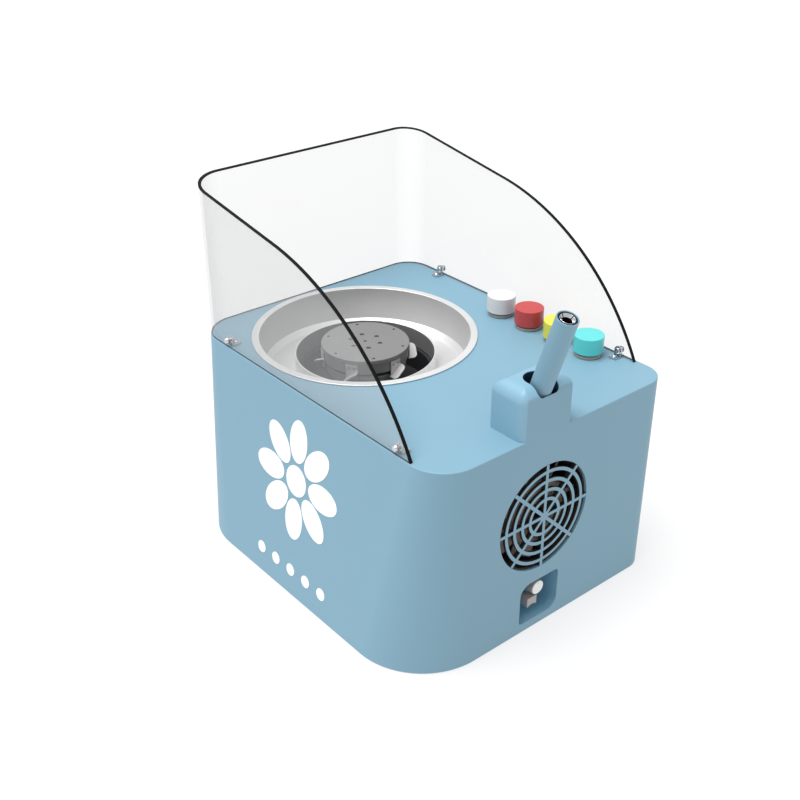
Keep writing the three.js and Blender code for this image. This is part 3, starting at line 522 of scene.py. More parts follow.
def makeBody():
    outer = bridged(shellSection(shellLow.z, 0), shellSection(shell["deck"], 0))
    rim = [edge for edge in outer.edges if all(v.co.z > shell["deck"] - 1e-6 for v in edge.verts)]
    bevelled(outer, rim, shell["deckEdge"], 3)
    body = asObject("bodyShell", outer)
    carve(body, holderSolid(0), "UNION")
    inner = bridged(
        shellSection(-shell["wall"], shell["wall"]),
        shellSection(shell["deck"] - shell["wall"], shell["wall"]),
    )
    carve(body, inner)
    holes = bmesh.new()
    low, high = shell["holeLow"], shell["holeHigh"]
    pour(holes, rod(shell["panHole"], low, high, 128), shift(panAxis.x, panAxis.y))
    for name in colours:
        spot = middle(name + "_cap")
        pour(holes, rod(shell["buttonHole"], low, high, 48), shift(spot.x, spot.y))
    pour(holes, rod(fan["opening"], -0.010, 0.010, 128), fanPlace)
    pour(holes, recessCore(0, -0.010, 0.008))
    edge = inlet["border"] - gap
    pour(holes, block(
        (inletLow.x + edge, rearY - 0.010, inletLow.z + edge),
        (inletHigh.x - edge, rearY + 0.010, inletHigh.z - edge),
    ))
    pour(holes, holderMouth())
    carve(body, holes)
    softEdges(body, shell["cutEdge"], 45)
    dress(body, here, "root", "body_blue", shellBlue, ["body_shell"])
    body.data.materials.append(holderPaintedLight)  # painted light: the holder's top and shoulders are a little lighter than the deck, where more light falls on them
    for face in body.data.polygons:
        if face.center.z > shell["deck"] + over and face.normal.y > -0.9:
            face.material_index = 1


makeBody()
print("body made")

# ---- emblem on the leaning wall: a plain eight-petalled rosette and a row of dots ----
emblem = {
    "y": 0.015, "z": 0.132, "petals": 8, "petalReach": 0.0435, "petalLong": 0.023, "petalWide": 0.0142,
    "centre": 0.0165, "thick": 0.0004, "dotRow": 0.029, "dotPitch": 0.026, "dot": 0.0066,
}


def flatDisc(long, wide, thick, sides=48):
    bm = bmesh.new()
    bmesh.ops.create_circle(bm, cap_ends=True, segments=sides, radius=1)
    bmesh.ops.scale(bm, vec=(long, wide, 1), verts=bm.verts)
    return pulled(bm, (0, 0, thick))


def wallPlace(y, z):
    # stands a flat drawing on the leaning wall, sunk in by a hair
    slant = math.atan(shell["lean"] / shell["deck"])
    turn = Matrix((
        (0, math.sin(slant), -math.cos(slant)),
        (-1, 0, 0),
        (0, math.cos(slant), math.sin(slant)),
    ))
    return shift(wallX(z), y, z) @ turn.to_4x4() @ shift(0, 0, -hair)


def makeEmblem():
    marks = bmesh.new()
    face, thick = wallPlace(emblem["y"], emblem["z"]), emblem["thick"]
    pour(marks, flatDisc(emblem["centre"], emblem["centre"], thick), face)
    for i in range(emblem["petals"]):
        turn = rotate(360 * i / emblem["petals"])
        petal = flatDisc(emblem["petalLong"], emblem["petalWide"], thick)
        pour(marks, petal, face @ turn @ shift(emblem["petalReach"], 0))
    for i in range(-2, 3):
        spot = wallPlace(emblem["y"] + i * emblem["dotPitch"], emblem["dotRow"])
        pour(marks, flatDisc(emblem["dot"], emblem["dot"], thick), spot)
    made("wallEmblem", marks, here, "root", "knob_white", printWhite, smooth=38)


makeEmblem()

# ---- pan and well ----
pan = {
    "lip": 0.1188, "lipTop": 0.2266, "lipUnder": 0.2253, "wall": 0.1112, "floorRim": 0.109,
    "floor": 0.185, "sheet": 0.0016, "collar": 0.075, "collarTop": 0.204, "foot": 0.006,
}
well = {
    "radius": 0.071, "floor": 0.158, "sheet": 0.0015, "flange": 0.006, "bore": 0.011,
    "post": 0.005, "side": 0.045,
}
standPan = shift(panAxis.x, panAxis.y)


def makePan():
    s, floor = pan["sheet"], pan["floor"]
    profile = [
        (pan["lip"], pan["lipUnder"]), (pan["lip"], pan["lipTop"]), (pan["wall"], pan["lipTop"]),
        (pan["floorRim"], floor + pan["foot"]), (pan["floorRim"] - pan["foot"], floor),
        (pan["collar"], floor), (pan["collar"], pan["collarTop"]), (pan["collar"] - s, pan["collarTop"]),
        (pan["collar"] - s, floor - s), (pan["floorRim"] - pan["foot"], floor - s),
        (pan["floorRim"] + s, floor + pan["foot"] - s), (pan["wall"] + s, pan["lipUnder"]),
    ]
    bm = turned(profile, 0.0005, 160)
    bowl = made("panBowl", bm, standPan, "pan", "pan_aluminium", panMetal, ["pan_bowl"])
    bowl.data.materials.append(panWallShadeMetal)  # painted shade: the inner sides are darker than the floor and lip, standing in for the dimmer light and reflections on the walls
    bowl.data.materials.append(headMetal)  # and the collar's inside is darker: painted shade in the narrow well between the head and the collar
    for face in bowl.data.polygons:
        outward = (Vector(face.center) - panAxis).to_2d()
        if face.normal.to_2d().dot(outward) < 0 and abs(face.normal.z) < 0.5:
            face.material_index = 2 if outward.length < pan["collar"] else 1


def makeWell():
    r, s, floor = well["radius"], well["sheet"], well["floor"]
    rim = pan["floor"] - pan["sheet"] - gap
    profile = [
        (r, floor - s), (r, rim - s), (r + well["flange"], rim - s), (r + well["flange"], rim),
        (r - s, rim), (r - s, floor), (well["bore"], floor), (well["bore"], floor - s),
    ]
    bm = turned(profile, 0.0004)
    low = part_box("motor_bracket")[1].z + gap
    for x in (-1, 1):
        for y in (-1, 1):
            spot = shift(x * well["side"], y * well["side"])
            pour(bm, rod(well["post"], low, floor - s - hair, 32), spot)
    made("heaterWell", bm, standPan, "root", "dark_metal", darkMetal, ["heater_well"])


makePan()
makeWell()

# ---- heater head ----
head = {
    "plateRadius": 0.0468, "plateTop": 0.215, "plateThick": 0.005, "screws": 6, "screwRing": 0.0415,
    "screwHole": 0.0016, "cupRing": 0.0164, "cupHole": 0.0026, "centreHole": 0.0017, "holeStart": 4,
    "holeDepth": 0.0018, "drumRadius": 0.0453, "drumHeight": 0.011, "drumFloor": 0.003, "cup": 0.030,
    "heaterRadius": 0.041, "heaterWide": 0.009, "heaterHeight": 0.0044, "slots": 24, "slotDepth": 0.0014,
    "baseRadius": 0.043, "baseHeight": 0.014, "baseTaper": 0.006, "shaft": 0.0053,
    "blades": 6, "bladeStart": 34, "bladeWidth": 0.013, "bladeHeight": 0.017, "bladeSheet": 0.0014,
    "vaneReach": 0.010, "vaneHalf": 0.009, "vaneUp": 0.005, "vaneSlant": 38,
    "rivet": 0.0011, "rivetAside": 0.003, "rivetDown": 0.004,
}
drumTop = head["plateTop"] - head["plateThick"] - gap
heaterTop = drumTop - head["drumHeight"] - gap
baseTop = heaterTop - head["heaterHeight"] - gap


def makeHeadPlate():
    radius, top = head["plateRadius"], head["plateTop"]
    bottom, sunk = top - head["plateThick"], top - head["holeDepth"]
    plate = asObject("headPlate", turned(
        [(0, bottom), (radius, bottom), (radius, top), (0, top)], 0.0006, 128
    ))
    holes = bmesh.new()
    for ring, size in ((head["screwRing"], head["screwHole"]), (head["cupRing"], head["cupHole"])):
        for i in range(head["screws"]):
            turn = rotate(head["holeStart"] + 360 * i / head["screws"])
            pour(holes, rod(size, sunk, top + 0.002, 24), turn @ shift(ring, 0))
    pour(holes, rod(head["centreHole"], sunk, top + 0.002, 24))
    carve(plate, holes)
    softEdges(plate, 0.0002)
    dress(plate, standPan, "spinner", "head_metal", plateMetal, ["head_plate"])


def makeDrum():
    bottom, floor = drumTop - head["drumHeight"], drumTop - head["drumHeight"] + head["drumFloor"]
    bm = turned([
        (head["shaft"], bottom), (head["drumRadius"], bottom), (head["drumRadius"], drumTop),
        (head["cup"], drumTop), (head["cup"], floor), (head["shaft"], floor),
    ], 0.0004)
    made("headDrum", bm, standPan, "spinner", "head_metal", headMetal, ["head_drum"])


def makeHeadBase():
    low, radius, taper = baseTop - head["baseHeight"], head["baseRadius"], head["baseTaper"]
    bm = turned([
        (head["shaft"], low), (radius - taper, low), (radius, low + taper),
        (radius, baseTop), (head["shaft"], baseTop),
    ], 0.0008)
    made("headBase", bm, standPan, "spinner", "head_metal", headMetal, ["head_base"])


def makeHeater():
    r, low = head["heaterRadius"], heaterTop - head["heaterHeight"]
    inner, cut = r - head["heaterWide"], r - head["slotDepth"]
    ring = turned([(inner, low), (r, low), (r, heaterTop), (inner, heaterTop)], 0.0003)
    heater = asObject("heaterRing", ring)
    slots = bmesh.new()
    for i in range(head["slots"]):
        slot = block((cut, -0.001, low - over), (r + 0.002, 0.001, heaterTop + over))
        pour(slots, slot, rotate(360 * i / head["slots"]))
    carve(heater, slots)
    dress(heater, standPan, "spinner", "dark_metal", darkMetal, ["heater_ring"])


def makeBlade(number):
    face, sheet, half = head["drumRadius"] + gap, head["bladeSheet"], head["bladeWidth"] / 2
    foot, wide = drumTop - head["bladeHeight"], head["vaneHalf"]
    blade = asObject(f"headBlade{number}", block((face, -half, foot), (face + sheet, half, drumTop), 0.0003))
    outline = roundedFace(
        face, face + head["vaneReach"], -wide, wide, -sheet / 2, [0.0049, 0.0049, 0.0004, 0.0004], 8
    )
    vane = pulled(outline, (0, 0, sheet))
    vane.transform(shift(0, 0, foot + head["vaneUp"]) @ rotate(head["vaneSlant"], "X"))
    carve(blade, vane, "UNION")
    holes = bmesh.new()
    for y in (-head["rivetAside"], head["rivetAside"]):
        turn = shift(face, y, drumTop - head["rivetDown"]) @ rotate(90, "Y")
        pour(holes, rod(head["rivet"], -0.005, 0.005, 20), turn)
    carve(blade, holes)
    softEdges(blade, 0.00018)
    turn = rotate(head["bladeStart"] + 360 / head["blades"] * (number - 1))
    dress(blade, standPan @ turn, "spinner", "head_metal", bladeMetal, [f"head_blade_{number}"])


makeHeadPlate()
makeDrum()
makeHeater()
makeHeadBase()
for number in range(1, head["blades"] + 1):
    makeBlade(number)
print("pan and head made")


# ---- cooling fan ----
def grilleRing(radius):
    half, deep = fan["bar"] / 2, fan["barDepth"]
    inner, outer = radius - half, radius + half
    return turned([(inner, 0), (outer, 0), (outer, deep), (inner, deep)])


def makeGrille():
    half = fan["bar"] / 2
    first, *others = fan["rings"]
    grille = asObject("fanGrille", grilleRing(first))
    for radius in others:
        carve(grille, grilleRing(radius), "UNION")
    reach = fan["opening"] - gap
    for angle in range(0, 180, 45):
        bar = block((-reach, -half, 0), (reach, half, fan["spokeDepth"]))
        bar.transform(rotate(angle))
        carve(grille, bar, "UNION")
    inner, outer = fan["opening"] - fan["rimInset"], fan["opening"] + fan["rimReach"]
    near, far = shell["behind"], fan["rimBack"]
    carve(grille, turned([(inner, near), (outer, near), (outer, far), (inner, far)]), "UNION")
    softEdges(grille, 0.00035)
    dress(grille, fanPlace, "root", "body_blue", shellBlue, ["fan_grille"])
    grille.data.materials.append(fanPlastic)  # only the front faces keep the shell blue; the sides and back are dark: painted shade in the gaps between the rings
    frontFaceLimit = frontY + fan["barDepth"] / 2
    for face in grille.data.polygons:
        face.material_index = 0 if face.normal.y < -0.6 and face.center.y < frontFaceLimit else 1


def makeFanFrame():
    half, near, bore, deep = fan["half"], fan["near"], fan["bore"], fan["flareDepth"]
    far, wide = near + fan["depth"], bore + fan["flare"]
    frameFace = roundedFace(-half, half, -half, half, near, [fan["corner"]] * 4, 8)
    frameSolid = asObject("fanFrame", pulled(frameFace, (0, 0, fan["depth"])))
    carve(frameSolid, turned([
        (0, near - over), (wide, near - over), (wide, near), (bore, near + deep),
        (bore, far - deep), (wide, far), (wide, far + over), (0, far + over),
    ]))
    carve(frameSolid, rod(fan["hub"], far - deep, far, 64), "UNION")
    for angle in range(fan["strutStart"], 360, 90):
        strut = block((0.010, -fan["strut"], far - deep), (wide, fan["strut"], far))
        strut.transform(rotate(angle))
        carve(frameSolid, strut, "UNION")
    softEdges(frameSolid, 0.0004)
    dress(frameSolid, fanPlace, "root", "black_plastic", fanPlastic, ["fan_frame"])


def makeRotor():
    front, back, hub, rim = fan["hubFront"], fan["hubBack"], fan["hub"], fan["badge"]
    sunk, half, sheet = front + fan["badgeSunk"], fan["bladeHalf"], fan["bladeSheet"]
    rotor = bmesh.new()
    pour(rotor, turned([
        (0, sunk), (rim, sunk), (rim, front), (0.012, front), (hub - 0.002, front + 0.001),
        (hub, front + 0.003), (hub, back), (0, back),
    ], 0.0004))
    for i in range(fan["blades"]):
        blade = block((hub - over, -half, -sheet), (fan["bore"] - fan["tipGap"], half, sheet), 0.0004)
        longEdges = [edge for edge in blade.edges if edge.calc_length() > 0.012]
        bmesh.ops.subdivide_edges(blade, edges=longEdges, cuts=4, use_grid_fill=True)
        lift = shift(0, 0, (front + back) / 2 + 0.001)
        pour(rotor, blade, rotate(360 * i / fan["blades"]) @ lift @ rotate(fan["twist"], "X"))
    made("fanRotor", rotor, fanPlace, "rotor", "rotor_plastic", rotorPlastic, ["fan_rotor"])


def makeRotorBadge():
    radius, near, far = fan["badge"] - gap, fan["hubFront"] + hair, fan["hubFront"] + fan["badgeSunk"]
    disc = turned([(0, far), (radius, far), (radius, near), (0, near)], 0.0001, 48)
    made("rotorBadge", disc, fanPlace, "rotor", "black_plastic", blackPlastic, smooth=38)


makeGrille()
makeFanFrame()
makeRotor()
makeRotorBadge()
print("fan made")

# ---- speed knob in its recess ----
knob = {
    "radius": 0.008, "length": 0.013, "face": 0.005, "shaft": 0.003, "shaftEnd": 0.0281,
    "chamfer": 0.0006, "ridges": 36, "ridge": 0.00028, "inlayInset": 0.0007, "groove": (0.0035, 0.0066),
}
knobSpot = middle("speed_knob")
knobPlace = shift(knobSpot.x, frontY + knob["face"], knobSpot.z) @ intoFront


def makeRecess():
    front, depth = shell["behind"], recess["depth"]
    tub = asObject("recessTub", recessCore(recess["sheet"], front, depth + recess["sheet"]))
    carve(tub, recessCore(recess["flange"], front, front + recess["flangeSheet"]), "UNION")
    carve(tub, recessCore(0, -0.002, depth))
    hole = rod(knob["shaft"] + gap, -0.010, 0.060, 32)
    hole.transform(knobPlace)
    carve(tub, hole)
    carve(tub, block((-aside, frontY - 0.010, -0.050), (aside, frontY + 0.060, recess["open"])))
    softEdges(tub, 0.0004)
    dress(tub, here, "root", "recess_blue", recessBlue, ["recess_tub"])


def makeKnob():
    length, radius, cut = knob["length"], knob["radius"], knob["chamfer"]
    skirt = asObject("speedKnob", turned(
        [(0, length), (radius, length), (radius, cut), (radius - cut, 0), (0, 0)], 0.0003
    ))
    grooves = bmesh.new()
    for i in range(knob["ridges"]):
        turn = rotate(360 * i / knob["ridges"])
        pour(grooves, rod(knob["ridge"], 0.003, length + over, 8), turn @ shift(radius + hair, 0))
    carve(skirt, grooves)
    carve(skirt, rod(knob["shaft"], length - over, knob["shaftEnd"], 32), "UNION")
    dress(skirt, knobPlace, "knob", "knob_white", knobSide, ["speed_knob"])


def makeKnobFace():
    # a white inlay on the knob's end, with a fine pointer groove
    radius = knob["radius"] - knob["inlayInset"]
    start, end = knob["groove"]
    disc = turned([(0, 0.0004), (radius, 0.0004), (radius, -0.0002), (0, -0.0002)], 0.00015)
    face = asObject("knobFace", disc)
    carve(face, block((-0.0003, start, -over), (0.0003, end, hair)))
    dress(face, knobPlace @ rotate(180), "knob", "knob_white", knobWhite, smooth=38)


makeRecess()
makeKnob()
makeKnobFace()

blockLow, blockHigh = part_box("knob_bracket")


def makeSaddle():
    # a block under the knob whose lower edge is hollowed to a shallow arc, on an arm to the rear wall
    low, high = blockLow, blockHigh
    mid = (low.x + high.x) / 2
    depth, drop, arm = 0.009, 0.011, 0.003
    saddle = asObject("knobBracket", block(low, (high.x, low.y + depth, high.z), 0.0004))
    sweep = math.asin((high.x - low.x) / 2 / drop)
    scoop = rod(drop, -0.020, 0.020, 96)
    scoop.transform(shift(mid, low.y, low.z - drop * math.cos(sweep)) @ intoFront)
    carve(saddle, scoop)
    carve(saddle, block(
        (mid - arm, low.y + 0.005, high.z - 0.006), (mid + arm, high.y, high.z - 0.001), 0.0003
    ), "UNION")
    dress(saddle, here, "root", "grey_plastic", greyPlastic, ["knob_bracket"])


makeSaddle()
print("recess made")

# ---- sugar buttons ----
button = {
    "cap": 0.0155, "capWall": 0.0011, "low": 0.230, "top": 0.2476, "roof": 0.2329,
    "stem": 0.005, "stemLow": 0.1995, "collar": 0.0141, "collarTop": 0.2284,
    "barrel": 0.011, "barrelLow": 0.203, "seat": 0.2253,
}


def makeButton(name):
    spot, b = middle(name + "_cap"), button
    place, inside, bore = shift(spot.x, spot.y), b["cap"] - b["capWall"], b["stem"] + gap
    cap = turned([
        (0, b["stemLow"]), (b["stem"], b["stemLow"]), (b["stem"], b["roof"]), (inside, b["roof"]),
        (inside, b["low"]), (b["cap"], b["low"]), (b["cap"], b["top"]), (0, b["top"]),
    ], 0.00045)
    made(name + "Cap", cap, place, name + "_button", name + "_cap", capFinish[name], [name + "_cap"])
    collar = turned([
        (bore, b["barrelLow"]), (b["barrel"], b["barrelLow"]), (b["barrel"], b["seat"]),
        (b["collar"], b["seat"]), (b["collar"], b["collarTop"]), (bore, b["collarTop"]),
    ], 0.0004)
    made(name + "Collar", collar, place, "root", "collar_metal", collarMetal, [name + "_collar"])


for name in colours:
    makeButton(name)


# ---- hand-held stick spinner and its pocket ----
def makeSleeve():
    # the sleeve takes the dark pocket blue: painted shade down the deep pocket
    sleeve = asObject("wandSleeve", pocketCore(pocket["sheet"], -pocket["floor"], pocket["sleeveTop"]))
    carve(sleeve, pocketCore(0, -0.001, pocket["sleeveTop"] + 0.010))
    top = shell["deck"] - shell["behind"]
    carve(sleeve, block((-aside, frontY - 0.050, top), (aside, 0.050, overhead)))
    dress(sleeve, here, "root", "pocket_blue", pocketShadeBlue, ["wand_sleeve"])


def makePocketShade():
    # a dark sheet inside the holder's pocket: painted shade of the deep pocket
    shadeSheet = asObject("pocketShadeSheet", pocketCore(-0.0002, pocket["shadeLow"], pocket["shadeTop"]))
    carve(shadeSheet, pocketCore(-0.0005, 0, 0.160))
    carve(shadeSheet, holderSolid(0.0006), "INTERSECT")
    dress(shadeSheet, here, "root", "pocket_blue", pocketShadeBlue, smooth=38)


def makeTube():
    r, length, low = wand["radius"], wand["length"], wand["tail"] + gap
    bore = r - wand["wall"]
    tube = turned([(bore, low), (r, low), (r, length), (bore, length)], 0.0005)
    made("wandTube", tube, wandPlace, "wand", "body_blue", shellBlue, ["wand_tube"])


def makeTailCap():
    r, tail, chamfer, plugTop = wand["radius"], wand["tail"], 0.002, 0.020
    plug = r - wand["wall"] - gap
    cap = turned([
        (0, 0), (r - chamfer, 0), (r, chamfer), (r, tail), (plug, tail), (plug, plugTop), (0, plugTop),
    ], 0.0005, 64)
    made("wandTailCap", cap, wandPlace, "wand", "body_blue", shellBlue, ["wand_tail_cap"])


chuck = {
    "ringBore": 0.0080, "ringDeep": 0.009, "ringDown": 0.0004, "jaw": 0.0074, "deep": 0.014, "spindle": 0.002,
    "mouth": 0.0046, "slotHalf": 0.0005, "socket": 0.00452, "stick": 0.0041,
}


def makeColletRing():
    bore, outer = chuck["ringBore"], wand["radius"] - wand["wall"] - gap
    low, high = wand["length"] - chuck["ringDeep"], wand["length"] - chuck["ringDown"]
    ring = turned([(bore, low), (outer, low), (outer, high), (bore, high)], 0.0002)
    made("colletRing", ring, wandPlace, "wand", "black_plastic", blackPlastic, ["collet_ring"])


def makeCollet():
    # four jaws split by narrow slots, on a spindle
    length, low, jaw, half = wand["length"], wand["length"] - chuck["deep"], chuck["jaw"], chuck["slotHalf"]
    spindle, mouth = chuck["spindle"], chuck["mouth"]
    collet = asObject("collet", turned([
        (0, low - 0.006), (spindle, low - 0.006), (spindle, low), (jaw, low), (jaw, length - 0.0006),
        (jaw - 0.0004, length - 0.0002), (mouth, length - 0.0028), (mouth, low + 0.004), (0, low + 0.004),
    ], 0.0002))
    for angle in (0, 90):
        slot = block((-0.010, -half, low + 0.005), (0.010, half, length + 0.002))
        slot.transform(rotate(angle))
        carve(collet, slot)
    softEdges(collet, 0.00015)
    dress(collet, wandPlace, "chuck", "bright_steel", brightSteel, ["collet"])


def makeColletBore():
    # the black socket that the floss stick is pushed into, proud of the slots
    length, outer, inner = wand["length"], chuck["socket"], chuck["stick"]
    low, floor = length - 0.0095, length - 0.009
    socket = turned([
        (0, low), (outer, low), (outer, length - 0.0031), (inner, length - 0.0028),
        (inner, floor), (0, floor),
    ], 0.0001, 64)
    made("colletBore", socket, wandPlace, "chuck", "black_plastic", acrylicEdge, smooth=38)


makeSleeve()
makePocketShade()
makeTube()
makeTailCap()
makeColletRing()
makeCollet()
makeColletBore()
print("buttons and wand made")

# ---- clear shield ----
shieldLow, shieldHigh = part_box("wind_shield")
shield = {
    "sheet": 0.003, "slope": math.radians(8.8), "bend": 0.051955, "arc": 0.266, "arcSteps": 56,
    "leftCorner": 0.038, "rightCorner": 0.027, "frontCorner": 0.001, "frontReach": 0.060,
    "edgeBack": 0.0007, "edgeDrop": 0.0008, "shadowBand": 0.0008, "boltHole": 0.0021,
}


def shieldCore(inset, low, high):
    front = shield["frontCorner"]
    face = roundedFace(
        shieldLow.x + inset, shieldHigh.x - inset, frontY - shield["frontReach"], shieldHigh.y - inset,
        low, [front, shield["rightCorner"] - inset, shield["leftCorner"] - inset, front], 20,
    )
    return pulled(face, (0, 0, high - low))


def underProfile():
    # everything below the shield's top edge: a slope from the rear, then an arc down to the deck
    top, bottom, slope, arc = shieldHigh.z, shieldLow.z, shield["slope"], shield["arc"]
    bendZ = top - (shieldHigh.y - shield["bend"]) * math.tan(slope)
    centreY = shield["bend"] + arc * math.sin(slope)
    centreZ = bendZ - arc * math.cos(slope)
    low, rear, start = bottom - over, shieldHigh.y + 0.010, -0.200
    foot = math.asin((low - centreZ) / arc)
    bm = bmesh.new()
    first = bm.verts.new((start, shield["bend"], bendZ))
    swept = bmesh.ops.spin(
        bm, geom=[first], cent=(start, centreY, centreZ), axis=(1, 0, 0),
        angle=math.pi - foot - (math.pi / 2 + slope), steps=shield["arcSteps"], use_merge=False,
    )
    last = vertsIn(swept["geom_last"])[0]
    outside = [
        bm.verts.new((start, y, z)) for y, z in ((rear, low), (rear, top), (shieldHigh.y, top))
    ]
    chain = [last, *outside, first]
    for pair in zip(chain, chain[1:]):
        bm.edges.new(pair)
    bmesh.ops.contextual_create(bm, geom=bm.edges[:])
    return pulled(bm, (-2 * start, 0, 0))


def makeShield():
    panel = asObject("windShield", shieldCore(0, shieldLow.z, shieldHigh.z))
    carve(panel, shieldCore(shield["sheet"], shieldLow.z - 0.010, shieldHigh.z + 0.010))
    carve(panel, underProfile(), "INTERSECT")
    holes = bmesh.new()
    for corner in corners:
        spot = middle("bolt_" + corner)
        turn = shift(spot.x, spot.y, spot.z) @ rotate(90, "Y")
        pour(holes, rod(shield["boltHole"], -0.010, 0.010, 32), turn)
    carve(panel, holes)
    dress(panel, here, "root", "clear_acrylic", clearAcrylic, ["wind_shield"], smooth=20)
    panel.data.materials.append(acrylicEdge)
    for face in panel.data.polygons:
        face.material_index = 1 if face.normal.z > 0.15 else 0


def makeShieldEdge():
    # the top edge, dark a little way down both faces
    low, high = shieldLow.z - 0.010, shieldHigh.z + 0.010
    edge = asObject("shieldEdge", shieldCore(-hair, shieldLow.z, high))
    carve(edge, shieldCore(shield["sheet"] + hair, low, high))
    cover = underProfile()
    cover.transform(shift(0, 0, hair))
    carve(edge, cover, "INTERSECT")
    core = underProfile()
    core.transform(shift(0, shield["edgeBack"], -shield["edgeDrop"]))
    carve(edge, core)
    dress(edge, here, "root", "black_plastic", acrylicEdge, smooth=20)


def makeShieldGapShadow():
    # a thin dark bead where the sheet stands on the deck: painted shadow of the fine gap under the sheet
    low, high = shieldLow.z, shieldLow.z + shield["shadowBand"]
    shadowBead = asObject("shieldGapShadow", shieldCore(-hair, low, high))
    carve(shadowBead, shieldCore(shield["shadowBand"], low - 0.010, high + 0.010))
    carve(shadowBead, underProfile(), "INTERSECT")
    dress(shadowBead, here, "root", "black_plastic", gapShadowGrey, smooth=20)


bracketSize = {
    "width": 0.009, "reach": 0.011, "sheet": 0.002, "footCorner": 0.002, "screw": 0.0026, "screwAside": 0.007,
}
boltSize = {"head": 0.0034, "headDeep": 0.0016, "shank": 0.0018, "nutDeep": 0.0018, "hex": 0.0012}


def makeBracket(corner):
    low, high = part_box("bracket_" + corner)
    width, reach, sheet = bracketSize["width"], bracketSize["reach"], bracketSize["sheet"]
    screw, curve, foot = bracketSize["screw"], width / 2 - 0.0002, bracketSize["footCorner"]
    upright = roundedFace(-width / 2, width / 2, 0, reach, 0, [0.0003, curve, curve, 0.0003], 12)
    back = pulled(upright, (0, 0, sheet))
    back.transform(Matrix(((0, 0, 1, 0), (1, 0, 0, 0), (0, 1, 0, 0), (0, 0, 0, 1))))
    bracket = asObject("bracket_" + corner + "_plate", back)
    tongue = roundedFace(0, reach, -width / 2, width / 2, 0, [foot, foot, 0.0002, 0.0002], 6)
    carve(bracket, pulled(tongue, (0, 0, sheet)), "UNION")
    cap = turned([
        (0, 0.001), (screw, 0.001), (screw, sheet + 0.0006), (0.0018, sheet + 0.0012), (0, sheet + 0.0012),
    ], 0.0003, 32)
    cap.transform(shift(bracketSize["screwAside"], 0))
    carve(bracket, cap, "UNION")
    hole = rod(shield["boltHole"], -0.010, 0.010, 24)
    hole.transform(shift(0, 0, reach - width / 2) @ rotate(90, "Y"))
    carve(bracket, hole)
    softEdges(bracket, 0.00025)
    left = "left" in corner  # the foot points into the deck
    place = shift(low.x if left else high.x, (low.y + high.y) / 2, low.z) @ rotate(0 if left else 180)
    dress(bracket, place, "root", "bright_steel", brightSteel, ["bracket_" + corner])


def makeBolt(corner):
    # head inside with a hex socket, cap nut outside
    low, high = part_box("bolt_" + corner)
    half, wide, shank, hexSize = (high.x - low.x) / 2, boltSize["head"], boltSize["shank"], boltSize["hex"]
    under, nut = -half + boltSize["headDeep"], half - boltSize["nutDeep"]
    bolt = asObject("bolt_" + corner + "_screw", turned([
        (0, -half), (0.0026, -half), (wide, under), (shank, under), (shank, nut),
        (wide, nut), (0.0030, half - 0.0004), (0.0022, half), (0, half),
    ], 0.0002, 48))
    carve(bolt, rod(hexSize, half - hexSize, half + over, 6))
    place = Matrix.Translation((low + high) / 2) @ rotate(90 if "left" in corner else -90, "Y")
    dress(bolt, place, "root", "bright_steel", brightSteel, ["bolt_" + corner])


makeShield()
makeShieldEdge()
makeShieldGapShadow()
for corner in corners:
    makeBracket(corner)
    makeBolt(corner)
print("shield made")

# ---- rear inlet ----
rockerLow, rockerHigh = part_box("power_rocker")
rocker = {"width": 0.011, "tilt": 7, "half": 0.0086, "proud": 0.0026, "setback": 0.004}
rockerSpot = Vector((
    (rockerLow.x + rockerHigh.x) / 2, rearY - rocker["setback"], (inletLow.z + inletHigh.z) / 2,
))


def makeInlet():
    edge, face, x, z = inlet["border"], rearY - inlet["proud"], rockerSpot.x, rockerSpot.z
    low = Vector((inletLow.x + edge, inletLow.y, inletLow.z + edge))
    high = Vector((inletHigh.x - edge, face, inletHigh.z - edge))
    body = asObject("powerInlet", block(low, high, 0.0006))
    carve(body, block(
        (inletLow.x, face - inlet["flange"], inletLow.z),
        (inletHigh.x, rearY - shell["behind"], inletHigh.z), 0.0004,
    ), "UNION")
    socketX = x - inlet["socketAside"]
    wide, tall = inlet["socketHalf"]
    shape = roundedFace(-wide, wide, -tall, tall, -over, [0.0015, 0.005, 0.005, 0.0015], 6)
    core = pulled(shape, (0, 0, inlet["socketDeep"]))
    core.transform(shift(socketX, face, z) @ rotate(90, "X"))
    carve(body, core)
    wide, tall = inlet["rockerHalf"]
    carve(body, block((x - wide, face - inlet["rockerDeep"], z - tall), (x + wide, face + over, z + tall)))
    softEdges(body, 0.0003)
    dress(body, here, "root", "black_plastic", blackPlastic, ["power_inlet"])
    pins = bmesh.new()
    wide, tall = inlet["pinHalf"]
    for away in (-inlet["pinPitch"], 0, inlet["pinPitch"]):
        mid = socketX + away
        pour(pins, block(
            (mid - wide, face - inlet["pinBack"], z - tall),
            (mid + wide, face - inlet["pinTip"], z + tall), 0.0004,
        ))
    made("inletPins", pins, here, "root", "bright_steel", brightSteel, smooth=38)


def makeRocker():
    half, width, proud = rocker["half"], rocker["width"] / 2, rocker["proud"]
    paddle = asObject("powerRocker", block((-width, -0.004, -half), (width, proud, half), 0.0007))
    back = rod(0.0045, -width, width)
    back.transform(shift(0, -0.002) @ rotate(90, "Y"))
    carve(paddle, back, "UNION")
    scoop = rod(0.040, -0.008, 0.008, 128)
    scoop.transform(shift(0, proud + 0.0393) @ rotate(90, "Y"))
    carve(paddle, scoop)
    place = Matrix.Translation(rockerSpot) @ rotate(-rocker["tilt"], "X")
    dress(paddle, place, "rocker", "black_plastic", blackPlastic, ["power_rocker"])


makeInlet()
makeRocker()


# ---- feet ----
footSize = {"radius": 0.012, "chamfer": 0.0008, "tread": 0.008, "hollow": 0.0006}


